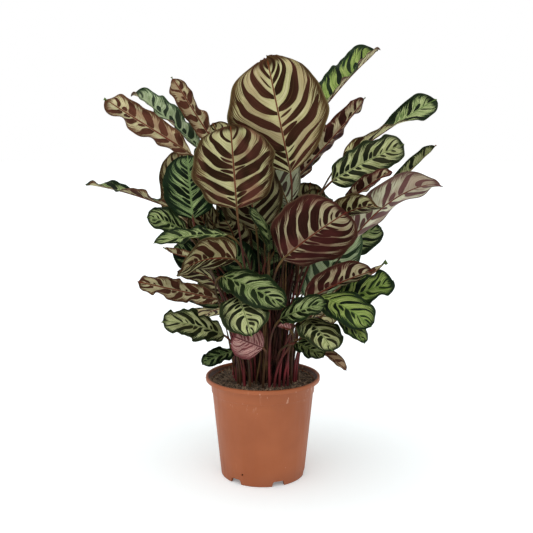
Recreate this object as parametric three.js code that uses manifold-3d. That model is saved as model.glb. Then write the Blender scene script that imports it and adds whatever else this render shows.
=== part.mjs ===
// Peacock plant (calathea) in a 17 cm nursery pot. Millimetres, +Z up, the front faces -Y.
// The origin is the middle of the pot's underside.
import * as THREE from "three";
import Module from "manifold-3d";

const wasm = await Module();
wasm.setup();
const { Manifold, Mesh } = wasm;

// ---- pot ----
const POT_HEIGHT = 150;
const RIM_RADIUS = 85;
const LIP_HEIGHT = 6.5;
const LIP_INNER_RADIUS = 81;
const LIP_ROUND = 1.5;
const COLLAR_HEIGHT = 17.5;
const COLLAR_RADIUS = 77.4;
const COLLAR_STEP = 0.9;
const BODY_TOP_RADIUS = 75.4;
const BASE_RADIUS = 62.8;
const EDGE_ROUND = 0.8;
const WALL = 1.4;
const FLOOR = 1.8;
const POT_SIDES = 48;
const NOTCHES = 6;
const NOTCH_START = -129; // degrees from +X to the first notch left of the front
const NOTCH_WIDTH = 20;
const NOTCH_HEIGHT = 7.5;
const NOTCH_FLARE = 0.12; // how much narrower the notch is at its top, each side
const NOTCH_DEPTH = 12; // how far the notch runs in under the floor
const WEEP_HOLE = 3; // width of the small hole beside the front notch
const WEEP_ANGLE = -117.5;
const WEEP_Z = 16.5;

// ---- soil ----
const SOIL_GAP = 0.3; // between the soil and the pot wall
const SOIL_EDGE = 142.8; // level of the soil at the pot wall
const SOIL_MOUND = 4; // how much higher it lies in the middle
// The mound's two bends: share of the soil's radius, and of the mound's height.
const SOIL_SHOULDER = 0.86;
const SOIL_SHOULDER_RISE = 0.4;
const SOIL_CROWN = 0.45;
const SOIL_CROWN_RISE = 0.85;
const FOOT_Z = 124; // how deep a stalk stands in the soil
const HOLE_GAP = 0.35; // between a stalk and the sides of its hole

// ---- leaves ----
const STALK_FOOT_RADIUS = 1.9;
const STALK_TOP_RADIUS = 1.5;
const STALK_RING = 6;
const STALK_STEPS = 4; // rings between the soil and the blade
const CLUMP_RADIUS = 52; // all the stalks rise within this circle
const FOOT_SPACING = 7.5; // least distance between two of them
const BLADE_THICKNESS = 1.0;
const MIDRIB_THICKNESS = 1.8;
const MARGIN_THICKNESS = 0.65;
const MARGIN_BEVEL = 0.4; // the lower edge of the margin lies this much further in
const CLEARANCE = 0.5; // kept between one leaf and the next
// Where the rings of a blade lie along it, and how wide the blade is there.
const OUTLINE = [
  [0.03, 0.15], [0.1, 0.55], [0.22, 0.8], [0.38, 0.96],
  [0.54, 1.0], [0.7, 0.95], [0.84, 0.78], [0.94, 0.47],
];

const MIDRIB_REACH = 0.36; // how far the midrib keeps its first and last direction
const WAVES = 2.3; // waves of the margin from foot to tip
const WAVE_INSIDE = 0.3; // how much of the wave is left half way to the midrib
const WAVE_OFFSET = 0.4; // how far the right margin lags behind the left
const PHASE_STEP = 0.37; // from one leaf's waves to the next
const STALK_FREE_Z = 150; // above this a stalk starts to bow
const STALK_ARRIVE = 0.8; // how much of its own run a stalk keeps where the blade begins
const STALK_RISE = 0.45; // share of its run over which a stalk keeps upright
const STALK_REACH = 0.3; // and over which it already points its last way
const STALK_END = 7; // the stalk's last ring stands this far before the blade
const STALK_EASE = 0.75; // crowds the rings towards the blade, where the stalk bends most
const FOOT_NEAREST = 8; // no stalk rises nearer the middle before they are pushed apart
const FOOT_SPREAD = 62; // how fast feet move out with the lean of their leaf
const FOOT_ROUNDS = 200;
// Moves to try when a leaf would cross another: the whole blade back or forward, and the
// stalk's bow aside.
const SHIFTS = [0, 5, -5, 10, -10, 16, -16, 24, -24, 34, -34, 46, -46];
const BOWS = [0, 8, -8, 18, -18, 30, -30];

// One row a leaf, named after where it stands as seen from the front:
// name, foot of the blade, tip of the blade, width, where its upper side looks,
// fold, cup, rise, fall (degrees), height of the waved margin, twist (degrees), and how far
// the foot of the blade tapers (1 if not given, less for a rounder foot).
const LEAVES = [
  ["crown_main", [39, -45, 446], [6, -60, 600], 136, [0, 1, 0.1], 5, 8, 8, -6, 2, 0, 1.5],
  ["crown_left", [-35, -80, 402], [-43, -75, 512], 114, [0, 1, 0.2], 4, 10, 8, -8, 2, 0, 0.7],
  ["front_right_big", [26, -66, 331], [109, -120, 401], 112, [-0.1, 1, 0.3], 6, 12, 14, 6, 3, 0, 0.8],
  ["crown_behind", [37, 5, 402], [-4, 30, 504], 76, [0, 1, 0], 10, 6, 6, 4, 2, 0],
  ["crown_right", [45, 15, 434], [154, 45, 559], 40, [-0.3, 1, 0.4], 28, 8, 4, -8, 4, 20],
  ["crown_inner", [48, 30, 450], [81, 50, 536], 58, [0.3, 1, 0], 16, 6, 6, 6, 3, 0],
  ["top_right", [85, 65, 538], [177, 110, 632], 72, [-0.6, -0.45, 0.7], 38, -10, 4, 8, 4, 0, 0.6],
  ["high_right_far", [114, 25, 464], [260, 60, 558], 50, [-0.3, 0.95, 0.2], 10, 8, 6, 4, 4, 150],
  ["right_green", [96, -22, 437], [195, -45, 489], 56, [-0.3, -1, 0.5], 12, -14, 8, 10, 3, 0, 0.7],
  ["right_slim", [168, 45, 395], [266, 80, 488], 30, [-0.4, -0.6, 0.8], 40, 8, 0, 4, 2, 0],
  ["right_red", [115, -30, 406], [173, -78, 453], 32, [-0.2, 0.7, 0.7], 22, 10, 6, 6, 3, 0],
  ["right_pink", [123, -30, 351], [245, -60, 435], 64, [-0.5, 0.9, 0.5], 14, 14, 30, 44, 3, 0, 0.8],
  ["right_small", [95, -45, 383], [152, -100, 407], 54, [0.1, 0.6, 0.8], 8, 22, 16, 20, 2, 0, 0.8],
  ["dark_mid", [-9, -45, 368], [-26, -42, 470], 92, [0, 1, 0.1], 8, 8, 4, 4, 2, 0, 0.8],
  ["pale_right", [66, 22, 256], [133, 10, 378], 70, [0.3, -1, 0.3], 14, -10, 10, 8, 3, 0],
  ["pale_inner", [51, -10, 263], [58, 0, 366], 70, [0, 1, 0], 10, 8, 4, 4, 2, 0],
  ["right_low_green", [88, 10, 318], [183, 34, 364], 66, [-0.2, -0.8, 0.6], 14, -12, 12, 12, 3, 0],
  ["right_brown", [58, -66, 272], [149, -90, 320], 54, [-0.2, 0.8, 0.5], 28, 12, 14, 8, 4, 0],
  ["right_spear", [91, -20, 265], [180, -20, 321], 20, [-0.2, 0.4, 0.8], 40, 14, 4, -8, 2, 0],
  ["right_tongue", [86, -48, 251], [181, -66, 300], 56, [-0.1, -0.6, 0.8], 16, -10, 14, 14, 4, 0],
  ["bright_a", [77, -72, 282], [143, -120, 249], 70, [0.3, -0.6, 0.8], 10, -14, 14, 18, 3, 0, 0.8],
  ["bright_b", [86, -44, 271], [134, -84, 228], 50, [0.6, -0.5, 0.6], 12, -14, 14, 16, 3, 0],
  ["front_low_right", [57, -82, 253], [90, -152, 223], 58, [0.2, -0.6, 0.8], 8, -14, 12, 18, 3, 0],
  ["front_low_left", [-34, -90, 285], [-14, -156, 244], 66, [-0.1, -0.6, 0.8], 8, -14, 14, 20, 3, 0, 0.7],
  ["front_middle", [-58, -70, 310], [30, -114, 275], 60, [0.1, -0.6, 0.8], 8, -12, 14, 12, 3, 0, 0.8],
  ["front_middle_right", [22, -92, 252], [84, -120, 280], 46, [0, -0.6, 0.8], 14, -12, 12, 10, 3, 0],
  ["pink_big", [1, -92, 213], [-39, -124, 237], 50, [0.1, -1, 0.2], -10, -14, 8, 10, 3, 0, 0.7],
  ["pink_small", [38, -94, 238], [20, -100, 244], 20, [0, 0.6, 0.8], 20, 10, 10, 10, 1, 0],
  ["tan_low_right", [45, -66, 222], [113, -100, 186], 26, [0.2, -0.4, 0.8], 24, 8, 10, 14, 2, 0],
  ["dark_low_right", [44, -74, 220], [81, -105, 207], 34, [0.1, -0.6, 0.8], 14, -10, 10, 10, 2, 0],
  ["left_high", [-99, -20, 474], [-218, -40, 551], 42, [-0.3, 0.9, 0.4], 26, 8, 6, -6, 5, 0],
  ["left_high_second", [-94, 42, 482], [-197, 78, 569], 52, [0.4, -0.5, 0.7], 30, -4, 6, 4, 5, 0],
  ["left_high_third", [-65, 20, 484], [-133, 30, 587], 34, [-0.5, 0.9, 0.2], 24, 10, 8, -6, 4, 0],
  ["left_top_behind", [-45, 60, 458], [-77, 75, 523], 60, [0, 1, 0.2], 12, 8, 6, 6, 2, 0],
  ["left_dark", [-109, 35, 358], [-129, 55, 483], 74, [-0.2, 1, 0.1], 14, 10, 8, 4, 3, 0, 0.8],
  ["left_green_face", [-97, -40, 386], [-106, -12, 474], 76, [0, -1, 0.5], 8, -12, 10, 16, 3, 0, 0.7],
  ["left_needle", [-130, 15, 396], [-266, 40, 431], 40, [0.2, 0.5, 0.9], 14, 8, 6, 8, 6, -50],
  ["left_green_tip", [-105, -45, 368], [-155, -85, 392], 44, [-0.2, -0.8, 0.6], 14, -10, 12, 20, 3, 0],
  ["left_narrow", [-45, -62, 366], [-144, -100, 359], 34, [0, -0.5, 0.9], 18, -8, 10, 12, 3, 0],
  ["left_curled", [-66, -30, 318], [-142, -45, 343], 20, [0, 0.5, 0.8], 40, 16, 8, -14, 2, 0],
  ["left_brown", [-36, -75, 332], [-108, -130, 323], 74, [0.1, 0.8, 0.6], 6, 14, 30, 24, 3, 0, 0.7],
  ["left_wavy", [-58, -48, 270], [-174, -72, 301], 32, [-0.1, 1, -0.1], 18, 6, 14, 4, 5, 0],
  ["left_low_green", [-52, -65, 224], [-137, -100, 252], 54, [-0.1, -0.6, 0.8], 10, -14, 12, 16, 4, 0],
  ["left_lowest", [-38, -64, 202], [-83, -98, 191], 30, [-0.1, -0.6, 0.8], 12, -12, 12, 16, 2, 0],
  ["inner_left", [-30, 22, 282], [-58, 16, 396], 100, [-0.2, -1, 0.2], 12, -8, 6, 8, 3, 0, 0.8],
  ["inner_middle", [4, 10, 290], [14, 0, 404], 96, [0, -1, 0.2], 12, -8, 6, 8, 3, 0, 0.8],
  ["inner_far_left", [-67, 28, 297], [-132, 24, 341], 46, [-0.5, -0.8, 0.5], 12, -8, 6, 8, 3, 0],
  ["inner_right", [69, 35, 257], [102, 46, 358], 86, [0.7, -0.8, 0.3], 12, -8, 6, 8, 3, 0],
  ["back_top", [8, 60, 430], [4, 110, 545], 100, [0, -1, 0.3], 8, 8, 8, 8, 3, 0, 0.8],
  ["back_high_left", [-36, 66, 416], [-82, 142, 498], 96, [0, -0.6, 0.8], 8, -10, 14, 20, 3, 0, 0.8],
  ["back_high_right", [41, 70, 374], [81, 160, 417], 98, [0.1, -0.5, 0.9], 8, -12, 16, 22, 3, 0],
  ["back_middle", [2, 84, 350], [4, 192, 370], 106, [0.1, -0.2, 1], 6, -12, 18, 24, 3, 0, 0.8],
  ["back_left", [-66, 62, 330], [-142, 140, 350], 92, [-0.2, 0, 1], 8, -12, 18, 22, 3, 0],
  ["back_right", [78, 66, 276], [152, 138, 268], 84, [0.2, 0, 1], 8, -12, 18, 22, 3, 0, 0.8],
  ["back_mid_left", [-40, 80, 290], [-76, 180, 278], 88, [-0.1, 0.2, 1], 8, -12, 18, 24, 3, 0],
  ["back_mid_right", [40, 84, 276], [72, 186, 258], 88, [0.1, 0.2, 1], 8, -12, 18, 24, 3, 0, 0.8],
  ["back_low_left", [-46, 66, 236], [-102, 142, 204], 74, [-0.1, 0.4, 1], 8, -12, 16, 20, 3, 0],
  ["back_low_right", [50, 64, 232], [108, 136, 196], 74, [0.1, 0.4, 1], 8, -12, 16, 20, 3, 0],
];

const vec = (p) => new THREE.Vector3(p[0], p[1], p[2]);
const UP = new THREE.Vector3(0, 0, 1);
const radians = (degrees) => degrees * Math.PI / 180;
const across = (direction, along) => direction.clone().projectOnPlane(along).normalize();

// A ring of a blade, seen from its foot: 0 left margin, 1 left half, 2 midrib, 3 right half and
// 4 right margin on the upper side, then 5 to 9 back along the underside.
const BLADE_RING = 10;
// Which way each quad between two rings is split: alike on the upper side and the underside.
const SPLIT = [true, true, false, false, false, true, true, false, false, false];

function joinAlike(a, b, n) {
  const faces = [];
  for (let i = 0; i < n; i += 1) {
    const j = (i + 1) % n;
    if (n !== BLADE_RING || SPLIT[i]) faces.push([a + i, a + j, b + j], [a + i, b + j, b + i]);
    else faces.push([a + i, a + j, b + i], [a + j, b + j, b + i]);
  }
  return faces;
}

// Joins the stalk's last ring to the blade's first, which has more points.
function joinUnlike(a, n, b, m) {
  const faces = [];
  let i = 0;
  let j = 0;
  while (i < n || j < m) {
    if (j >= m || (i < n && (i + 1.5) / n <= (j + 1.5) / m)) {
      faces.push([a + i % n, a + (i + 1) % n, b + j % m]);
      i += 1;
    } else {
      faces.push([a + i % n, b + (j + 1) % m, b + j % m]);
      j += 1;
    }
  }
  return faces;
}

// One closed skin over rings of points, from a flat foot to a pointed tip.
function skin(rings, tip) {
  const points = [...rings.flat(), tip];
  const faces = [];
  for (let i = 1; i + 1 < rings[0].length; i += 1) faces.push([0, i + 1, i]);
  let start = 0;
  for (let k = 0; k + 1 < rings.length; k += 1) {
    const here = rings[k].length;
    const next = rings[k + 1].length;
    if (here === next) faces.push(...joinAlike(start, start + here, here));
    else faces.push(...joinUnlike(start, here, start + here, next));
    start += here;
  }
  for (let i = 0; i < BLADE_RING; i += 1) {
    faces.push([start + i, start + (i + 1) % BLADE_RING, points.length - 1]);
  }
  return { points, faces };
}

function bezier(a, b, c, d, t) {
  const s = 1 - t;
  return a.clone().multiplyScalar(s * s * s).addScaledVector(b, 3 * s * s * t)
    .addScaledVector(c, 3 * s * t * t).addScaledVector(d, t * t * t);
}

function bezierTangent(a, b, c, d, t) {
  const s = 1 - t;
  return b.clone().sub(a).multiplyScalar(s * s).addScaledVector(c.clone().sub(b), 2 * s * t)
    .addScaledVector(d.clone().sub(c), t * t).normalize();
}

// The midrib: rises from the chord between foot and tip by one angle and falls to it by another.
function midrib(leaf) {
  const chord = leaf.tip.clone().sub(leaf.base);
  const length = chord.length();
  chord.normalize();
  const upper = across(leaf.looks, chord);
  const lift = (angle) => chord.clone().multiplyScalar(Math.cos(radians(angle)))
    .addScaledVector(upper, Math.sin(radians(angle)));
  const start = lift(leaf.rise);
  const end = lift(-leaf.fall);
  const reach = length * MIDRIB_REACH;
  return {
    upper,
    start,
    curve: [leaf.base, leaf.base.clone().addScaledVector(start, reach),
      leaf.tip.clone().addScaledVector(end, -reach), leaf.tip],
  };
}

function bladeRing(leaf, rib, t, share, extra) {
  const centre = bezier(...rib.curve, t);
  const along = bezierTangent(...rib.curve, t);
  const upper = across(rib.upper, along).applyAxisAngle(along, radians(leaf.twist * t));
  const right = along.clone().cross(upper);
  const top = [];
  const under = [];
  const put = (point, normal, thickness, bevel) => {
    const half = thickness / 2 + extra;
    top.push(point.clone().addScaledVector(normal, half));
    under.push(point.clone().addScaledVector(normal, -half).add(bevel));
  };
  const none = new THREE.Vector3();
  const quarter = leaf.width * share / 4 + extra / 2;
  const half = (side, phase) => {
    const out = right.clone().multiplyScalar(side);
    const inner = radians(leaf.fold);
    const outer = radians(leaf.fold + leaf.cup);
    const dir = (angle) => out.clone().multiplyScalar(Math.cos(angle))
      .addScaledVector(upper, Math.sin(angle));
    const normal = (angle) => upper.clone().multiplyScalar(Math.cos(angle))
      .addScaledVector(out, -Math.sin(angle));
    const swell = leaf.wave * share * Math.sin(2 * Math.PI * (t * WAVES + phase));
    const middle = centre.clone().addScaledVector(dir(inner), quarter)
      .addScaledVector(normal(inner), swell * WAVE_INSIDE);
    const edge = centre.clone().addScaledVector(dir(inner), quarter)
      .addScaledVector(dir(outer), quarter).addScaledVector(normal(outer), swell);
    return { middle, edge, bevel: dir(outer).multiplyScalar(-MARGIN_BEVEL),
      middleNormal: normal((inner + outer) / 2), edgeNormal: normal(outer) };
  };
  const left = half(-1, leaf.phase);
  const rightHalf = half(1, leaf.phase + WAVE_OFFSET);
  put(left.edge, left.edgeNormal, MARGIN_THICKNESS, left.bevel);
  put(left.middle, left.middleNormal, BLADE_THICKNESS, none);
  put(centre, upper, MIDRIB_THICKNESS, none);
  put(rightHalf.middle, rightHalf.middleNormal, BLADE_THICKNESS, none);
  put(rightHalf.edge, rightHalf.edgeNormal, MARGIN_THICKNESS, rightHalf.bevel);
  return [...top, ...under.reverse()];
}

function stalkRing(centre, along, upper, radius) {
  const right = along.clone().cross(upper);
  const ring = [];
  for (let i = 0; i < STALK_RING; i += 1) {
    const angle = Math.PI - 2 * Math.PI * (i + 0.5) / STALK_RING;
    ring.push(centre.clone().addScaledVector(right, radius * Math.cos(angle))
      .addScaledVector(upper, radius * Math.sin(angle)));
  }
  return ring;
}

// A whole leaf: a stalk that stands upright in the soil, bows out and carries the blade.
function leafSkin(leaf, extra = 0) {
  const rib = midrib(leaf);
  const share = ([t, w]) => Math.pow(w, t < 0.5 ? leaf.taper : 1);
  const blade = OUTLINE.map((at) => bladeRing(leaf, rib, at[0], share(at), extra));
  const ground = new THREE.Vector3(leaf.foot.x, leaf.foot.y, STALK_FREE_Z);
  const run = leaf.base.clone().sub(ground);
  const reach = run.length();
  run.normalize();
  const arrive = run.clone().multiplyScalar(STALK_ARRIVE).add(rib.start).normalize();
  const aside = UP.clone().cross(run).normalize().multiplyScalar(leaf.bow);
  const curve = [ground, ground.clone().addScaledVector(UP, reach * STALK_RISE).add(aside),
    leaf.base.clone().addScaledVector(arrive, -reach * STALK_REACH).add(aside), leaf.base];
  let upper = across(rib.upper, rib.start);
  const stalk = [];
  for (let k = STALK_STEPS; k >= 0; k -= 1) {
    const t = (1 - STALK_END / reach) * Math.pow(k / STALK_STEPS, STALK_EASE);
    const along = bezierTangent(...curve, t);
    upper = across(upper, along);
    const radius = STALK_FOOT_RADIUS + (STALK_TOP_RADIUS - STALK_FOOT_RADIUS) * t;
    stalk.unshift(stalkRing(bezier(...curve, t), along, upper, radius + extra));
  }
  upper = across(upper, UP);
  stalk.unshift(stalkRing(leaf.foot, UP, upper, STALK_FOOT_RADIUS + extra));
  return skin([...stalk, ...blade], leaf.tip.clone().addScaledVector(rib.start, extra));
}

function toManifold({ points, faces }) {
  const mesh = new Mesh({
    numProp: 3,
    vertProperties: new Float32Array(points.flatMap((p) => [p.x, p.y, p.z])),
    triVerts: new Uint32Array(faces.flat()),
  });
  return new Manifold(mesh);
}

function toGeometry(points, faces) {
  const geometry = new THREE.BufferGeometry();
  const numbers = points.flatMap((p) => [p.x, p.y, p.z]);
  geometry.setAttribute("position", new THREE.Float32BufferAttribute(numbers, 3));
  geometry.setIndex(faces.flat());
  return geometry;
}

function manifoldGeometry(solid) {
  const mesh = solid.getMesh();
  const points = [];
  const faces = [];
  for (let i = 0; i < mesh.numVert; i += 1) {
    points.push(vec(mesh.vertProperties.slice(i * mesh.numProp, i * mesh.numProp + 3)));
  }
  for (let i = 0; i < mesh.numTri; i += 1) faces.push([...mesh.triVerts.slice(3 * i, 3 * i + 3)]);
  return toGeometry(points, faces);
}

// Feet stand under their blades' side of the clump: low outer blades at its edge,
// high ones nearer the middle, then pushed apart until none touch.
function footPlaces(rows) {
  const feet = rows.map(([, base]) => {
    const outward = Math.hypot(base[0], base[1]) / (base[2] - POT_HEIGHT);
    const radius = Math.min(CLUMP_RADIUS, FOOT_NEAREST + outward * FOOT_SPREAD);
    const angle = Math.atan2(base[1], base[0]);
    return new THREE.Vector2(radius * Math.cos(angle), radius * Math.sin(angle));
  });
  for (let round = 0; round < FOOT_ROUNDS; round += 1) {
    for (let i = 0; i < feet.length; i += 1) {
      for (let j = i + 1; j < feet.length; j += 1) {
        const gap = feet[j].clone().sub(feet[i]);
        const push = (FOOT_SPACING - gap.length()) / 2;
        if (push > 0) {
          gap.setLength(push);
          feet[i].sub(gap);
          feet[j].add(gap);
        }
      }
      feet[i].clampLength(0, CLUMP_RADIUS);
    }
  }
  return feet;
}

const boxesMeet = (a, b) => [0, 1, 2].every((k) => a.min[k] <= b.max[k] && b.min[k] <= a.max[k]);

// Leaves are placed one after another. Each is moved back or forward and its stalk bowed
// aside, by ever larger steps, until it is clear of all that stand already.
function placeLeaves(rows) {
  const feet = footPlaces(rows);
  const tries = [];
  for (const shift of SHIFTS) for (const bow of BOWS) tries.push({ shift, bow });
  const cost = ({ shift, bow }) => Math.abs(shift) + Math.abs(bow) / 2;
  tries.sort((a, b) => cost(a) - cost(b));
  const placed = [];
  rows.forEach((row, index) => {
    const [name, base, tip, width, looks, fold, cup, rise, fall, wave, twist, taper = 1] = row;
    const foot = new THREE.Vector3(feet[index].x, feet[index].y, FOOT_Z);
    const phase = index * PHASE_STEP;
    let best = null;
    for (const { shift, bow } of tries) {
      const move = new THREE.Vector3(0, shift, 0);
      const leaf = { name, base: vec(base).add(move), tip: vec(tip).add(move), width,
        looks: vec(looks), fold, cup, rise, fall, wave, twist, taper, foot, bow, phase };
      const test = toManifold(leafSkin(leaf, CLEARANCE));
      const box = test.boundingBox();
      let overlap = 0;
      for (const other of placed) {
        if (boxesMeet(box, other.box)) overlap += test.intersect(other.solid).volume();
        if (best && overlap >= best.overlap) break;
      }
      test.delete();
      if (!best || overlap < best.overlap) best = { leaf, overlap };
      if (overlap === 0) break;
    }
    const shape = leafSkin(best.leaf);
    const solid = toManifold(shape);
    placed.push({ ...best, shape, solid, box: solid.boundingBox() });
  });
  return placed;
}

// Turns a profile that runs from the axis at the bottom to the axis at the top.
function revolve(profile) {
  const points = [vec([0, 0, profile[0][1]])];
  const faces = [];
  const rings = profile.slice(1, -1);
  for (const [r, z] of rings) {
    for (let i = 0; i < POT_SIDES; i += 1) {
      const angle = 2 * Math.PI * i / POT_SIDES;
      points.push(new THREE.Vector3(r * Math.cos(angle), r * Math.sin(angle), z));
    }
  }
  const top = points.push(vec([0, 0, profile[profile.length - 1][1]])) - 1;
  const last = (rings.length - 1) * POT_SIDES + 1;
  for (let i = 0; i < POT_SIDES; i += 1) {
    const j = (i + 1) % POT_SIDES;
    faces.push([0, 1 + j, 1 + i], [top, last + i, last + j]);
    for (let a = 1; a < last; a += POT_SIDES) {
      const b = a + POT_SIDES;
      faces.push([a + i, a + j, b + j], [a + i, b + j, b + i]);
    }
  }
  return toManifold({ points, faces });
}

// A cut through the wall at the front, from a radius outwards, then turned to its angle.
const radialCut = (outline, from, length, angle) => Manifold.extrude([outline], length)
  .translate([0, 0, from]).rotate([90, 0, 0]).rotate([0, 0, angle + 90]);

// One moulded shell: floor, tapered wall, collar band and thick rolled lip.
function makePot() {
  const lipBottom = POT_HEIGHT - LIP_HEIGHT;
  const collarBottom = lipBottom - COLLAR_HEIGHT;
  let pot = revolve([
    [0, 0],
    [BASE_RADIUS - EDGE_ROUND, 0],
    [BASE_RADIUS, EDGE_ROUND],
    [BODY_TOP_RADIUS, collarBottom],
    [COLLAR_RADIUS - COLLAR_STEP, collarBottom + COLLAR_STEP],
    [COLLAR_RADIUS, lipBottom],
    [RIM_RADIUS - LIP_ROUND, lipBottom],
    [RIM_RADIUS, lipBottom + LIP_ROUND],
    [RIM_RADIUS, POT_HEIGHT - LIP_ROUND],
    [RIM_RADIUS - LIP_ROUND, POT_HEIGHT],
    [LIP_INNER_RADIUS + LIP_ROUND, POT_HEIGHT],
    [LIP_INNER_RADIUS, POT_HEIGHT - LIP_ROUND],
    ...innerWall(0),
    [0, FLOOR],
  ]);
  const flare = NOTCH_WIDTH * NOTCH_FLARE;
  const notch = [
    [-NOTCH_WIDTH / 2, -1], [NOTCH_WIDTH / 2, -1],
    [NOTCH_WIDTH / 2 - flare, NOTCH_HEIGHT], [flare - NOTCH_WIDTH / 2, NOTCH_HEIGHT],
  ];
  for (let k = 0; k < NOTCHES; k += 1) {
    const angle = NOTCH_START + 360 * k / NOTCHES;
    pot = pot.subtract(radialCut(notch, BASE_RADIUS - NOTCH_DEPTH, NOTCH_DEPTH * 2, angle));
  }
  const half = WEEP_HOLE / 2;
  const weep = [
    [-half, WEEP_Z - half], [half, WEEP_Z - half], [half, WEEP_Z + half], [-half, WEEP_Z + half],
  ];
  return pot.subtract(radialCut(weep, BASE_RADIUS - WALL * 2, WALL * 4, WEEP_ANGLE));
}

// The inside of the wall, from under the lip down to the floor.
function innerWall(gap) {
  const lipBottom = POT_HEIGHT - LIP_HEIGHT;
  const collarBottom = lipBottom - COLLAR_HEIGHT;
  const inset = WALL + gap;
  return [
    [COLLAR_RADIUS - inset, lipBottom - COLLAR_STEP],
    [COLLAR_RADIUS - COLLAR_STEP - inset, collarBottom],
    [BODY_TOP_RADIUS - inset, collarBottom - COLLAR_STEP],
    [BASE_RADIUS - inset, FLOOR + gap],
  ];
}

// The plug of soil, a little below the lip and higher in the middle, with a hole a stalk.
function makeSoil(leaves) {
  const wall = innerWall(SOIL_GAP).reverse();
  const [, , , [edge]] = wall;
  let soil = revolve([
    [0, FLOOR + SOIL_GAP],
    ...wall,
    [edge * SOIL_SHOULDER, SOIL_EDGE + SOIL_MOUND * SOIL_SHOULDER_RISE],
    [edge * SOIL_CROWN, SOIL_EDGE + SOIL_MOUND * SOIL_CROWN_RISE],
    [0, SOIL_EDGE + SOIL_MOUND],
  ]);
  const radius = (STALK_FOOT_RADIUS + HOLE_GAP) / Math.cos(Math.PI / STALK_RING);
  for (const { foot } of leaves) {
    const hole = Manifold.cylinder(POT_HEIGHT - FOOT_Z, radius, radius, STALK_RING)
      .translate([foot.x, foot.y, FOOT_Z - HOLE_GAP]);
    soil = soil.subtract(hole);
  }
  return soil;
}

const LOOKS = {
  pot: { color: 0xb4643f, roughness: 0.55 },
  soil: { color: 0x2b2018, roughness: 1 },
  leaf: { color: 0x3f6b35, roughness: 0.45 },
  young: { color: 0xa86a63, roughness: 0.45 },
};

function node(name, geometry, look) {
  const mesh = new THREE.Mesh(geometry, new THREE.MeshStandardMaterial(LOOKS[look]));
  mesh.name = name;
  mesh.material.name = look;
  return mesh;
}

const leaves = placeLeaves(LEAVES);
const plant = new THREE.Group();
plant.name = "potted_calathea";
plant.add(node("pot", manifoldGeometry(makePot()), "pot"));
plant.add(node("soil", manifoldGeometry(makeSoil(leaves.map(({ leaf }) => leaf))), "soil"));
for (const { leaf, shape } of leaves) {
  const look = leaf.name.startsWith("pink") ? "young" : "leaf";
  plant.add(node(`leaf_${leaf.name}`, toGeometry(shape.points, shape.faces), look));
}

export default plant;
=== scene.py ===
# Peacock calathea in a 17 cm nursery pot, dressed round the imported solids. Metres, +Z up.
import math
import bmesh
import bpy
import numpy as np
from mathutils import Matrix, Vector
from mathutils.bvhtree import BVHTree


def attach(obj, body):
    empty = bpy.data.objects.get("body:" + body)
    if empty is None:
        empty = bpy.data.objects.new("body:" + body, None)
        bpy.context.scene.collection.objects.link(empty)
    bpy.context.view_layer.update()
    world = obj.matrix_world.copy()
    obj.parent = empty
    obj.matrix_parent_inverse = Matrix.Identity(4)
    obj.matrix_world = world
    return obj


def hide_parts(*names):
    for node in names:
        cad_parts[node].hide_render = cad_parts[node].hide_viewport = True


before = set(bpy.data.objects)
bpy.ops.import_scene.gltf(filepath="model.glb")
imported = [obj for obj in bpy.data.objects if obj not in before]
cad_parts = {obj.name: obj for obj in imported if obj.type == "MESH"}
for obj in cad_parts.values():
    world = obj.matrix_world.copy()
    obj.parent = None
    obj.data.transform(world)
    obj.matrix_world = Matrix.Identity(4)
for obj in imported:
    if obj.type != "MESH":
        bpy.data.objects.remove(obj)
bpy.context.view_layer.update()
MM = 0.001  # sizes are in mm where nothing else is said

# ==== Nursery pot ====
# One thin shell of terracotta coloured plastic, injection moulded, with a collar band and a
# rolled lip. Its floor stands on a foot ring with six drain notches, and has one weep hole.
POT_SIDES = 180
POT_PROFILE = [  # outside from the middle of its floor, over the lip and down the inside
    (0, 7.8), (40, 7.8), (57.2, 7.8), (58.2, 7), (58.8, 1), (59.4, 0.2), (60.2, 0), (61.9, 0),
    (62.5, 0.25), (62.8, 0.8), (63.0, 3), (65.1, 24), (68.3, 56), (71.6, 89), (74.6, 119),
    (75.4, 126), (75.6, 126.3), (76.3, 126.7), (76.5, 127.2), (77.4, 142.9), (77.9, 143.5),
    (83.6, 143.5), (84.5, 143.8), (84.9, 144.5), (85.0, 145.4), (85.0, 148.2), (84.8, 149.2),
    (84.2, 149.8), (83.4, 150), (82.5, 150), (81.7, 149.7), (81.2, 149.1), (81.0, 148.3),
    (80.7, 147.2), (76.9, 144.3), (76.3, 142.6), (75.1, 126), (74.0, 125.1), (70.2, 89),
    (66.9, 56), (63.7, 24), (62.2, 12), (61.4, 10.2), (58, 9.4), (40, 9.4), (0, 9.4),
]
NOTCH_ANGLES = [math.radians(-129 + 60 * k) for k in range(6)]
NOTCH_WIDTH = 20
NOTCH_TOP_WIDTH = 15.2
NOTCH_HEIGHT = 7.5
NOTCH_REACH = (50.8, 75)  # from this far from the axis, out through the wall
WEEP_ANGLE = math.radians(-117.5)
WEEP_WIDTH = 3
WEEP_HEIGHT = 16.5
WEEP_REACH = (57, 70)
SHARP_POT_EDGE = 38  # degrees
# Heights and distances from the axis between which the pot's stains and its darker foot fade in,
# in metres.
DRIPS_BELOW_LIP = (0.112, 0.14)
DRIPS_END_AT_LIP = (0.15, 0.1435)
DARKER_AT_FOOT = (0.03, 0.0)
DIRT_INSIDE_LIP = (0.0828, 0.0816)
DIRT_ABOVE = (0.1437, 0.1441)


def put(tree, kind, inputs=None, **settings):
    """A new node in a shader or geometry tree. Inputs are sockets to join or plain values."""
    made = tree.nodes.new(kind)
    for name, value in settings.items():
        setattr(made, name, value)
    for name, value in (inputs or {}).items():
        if isinstance(value, bpy.types.NodeSocket):
            tree.links.new(value, made.inputs[name])
        else:
            made.inputs[name].default_value = value
    return made


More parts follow.
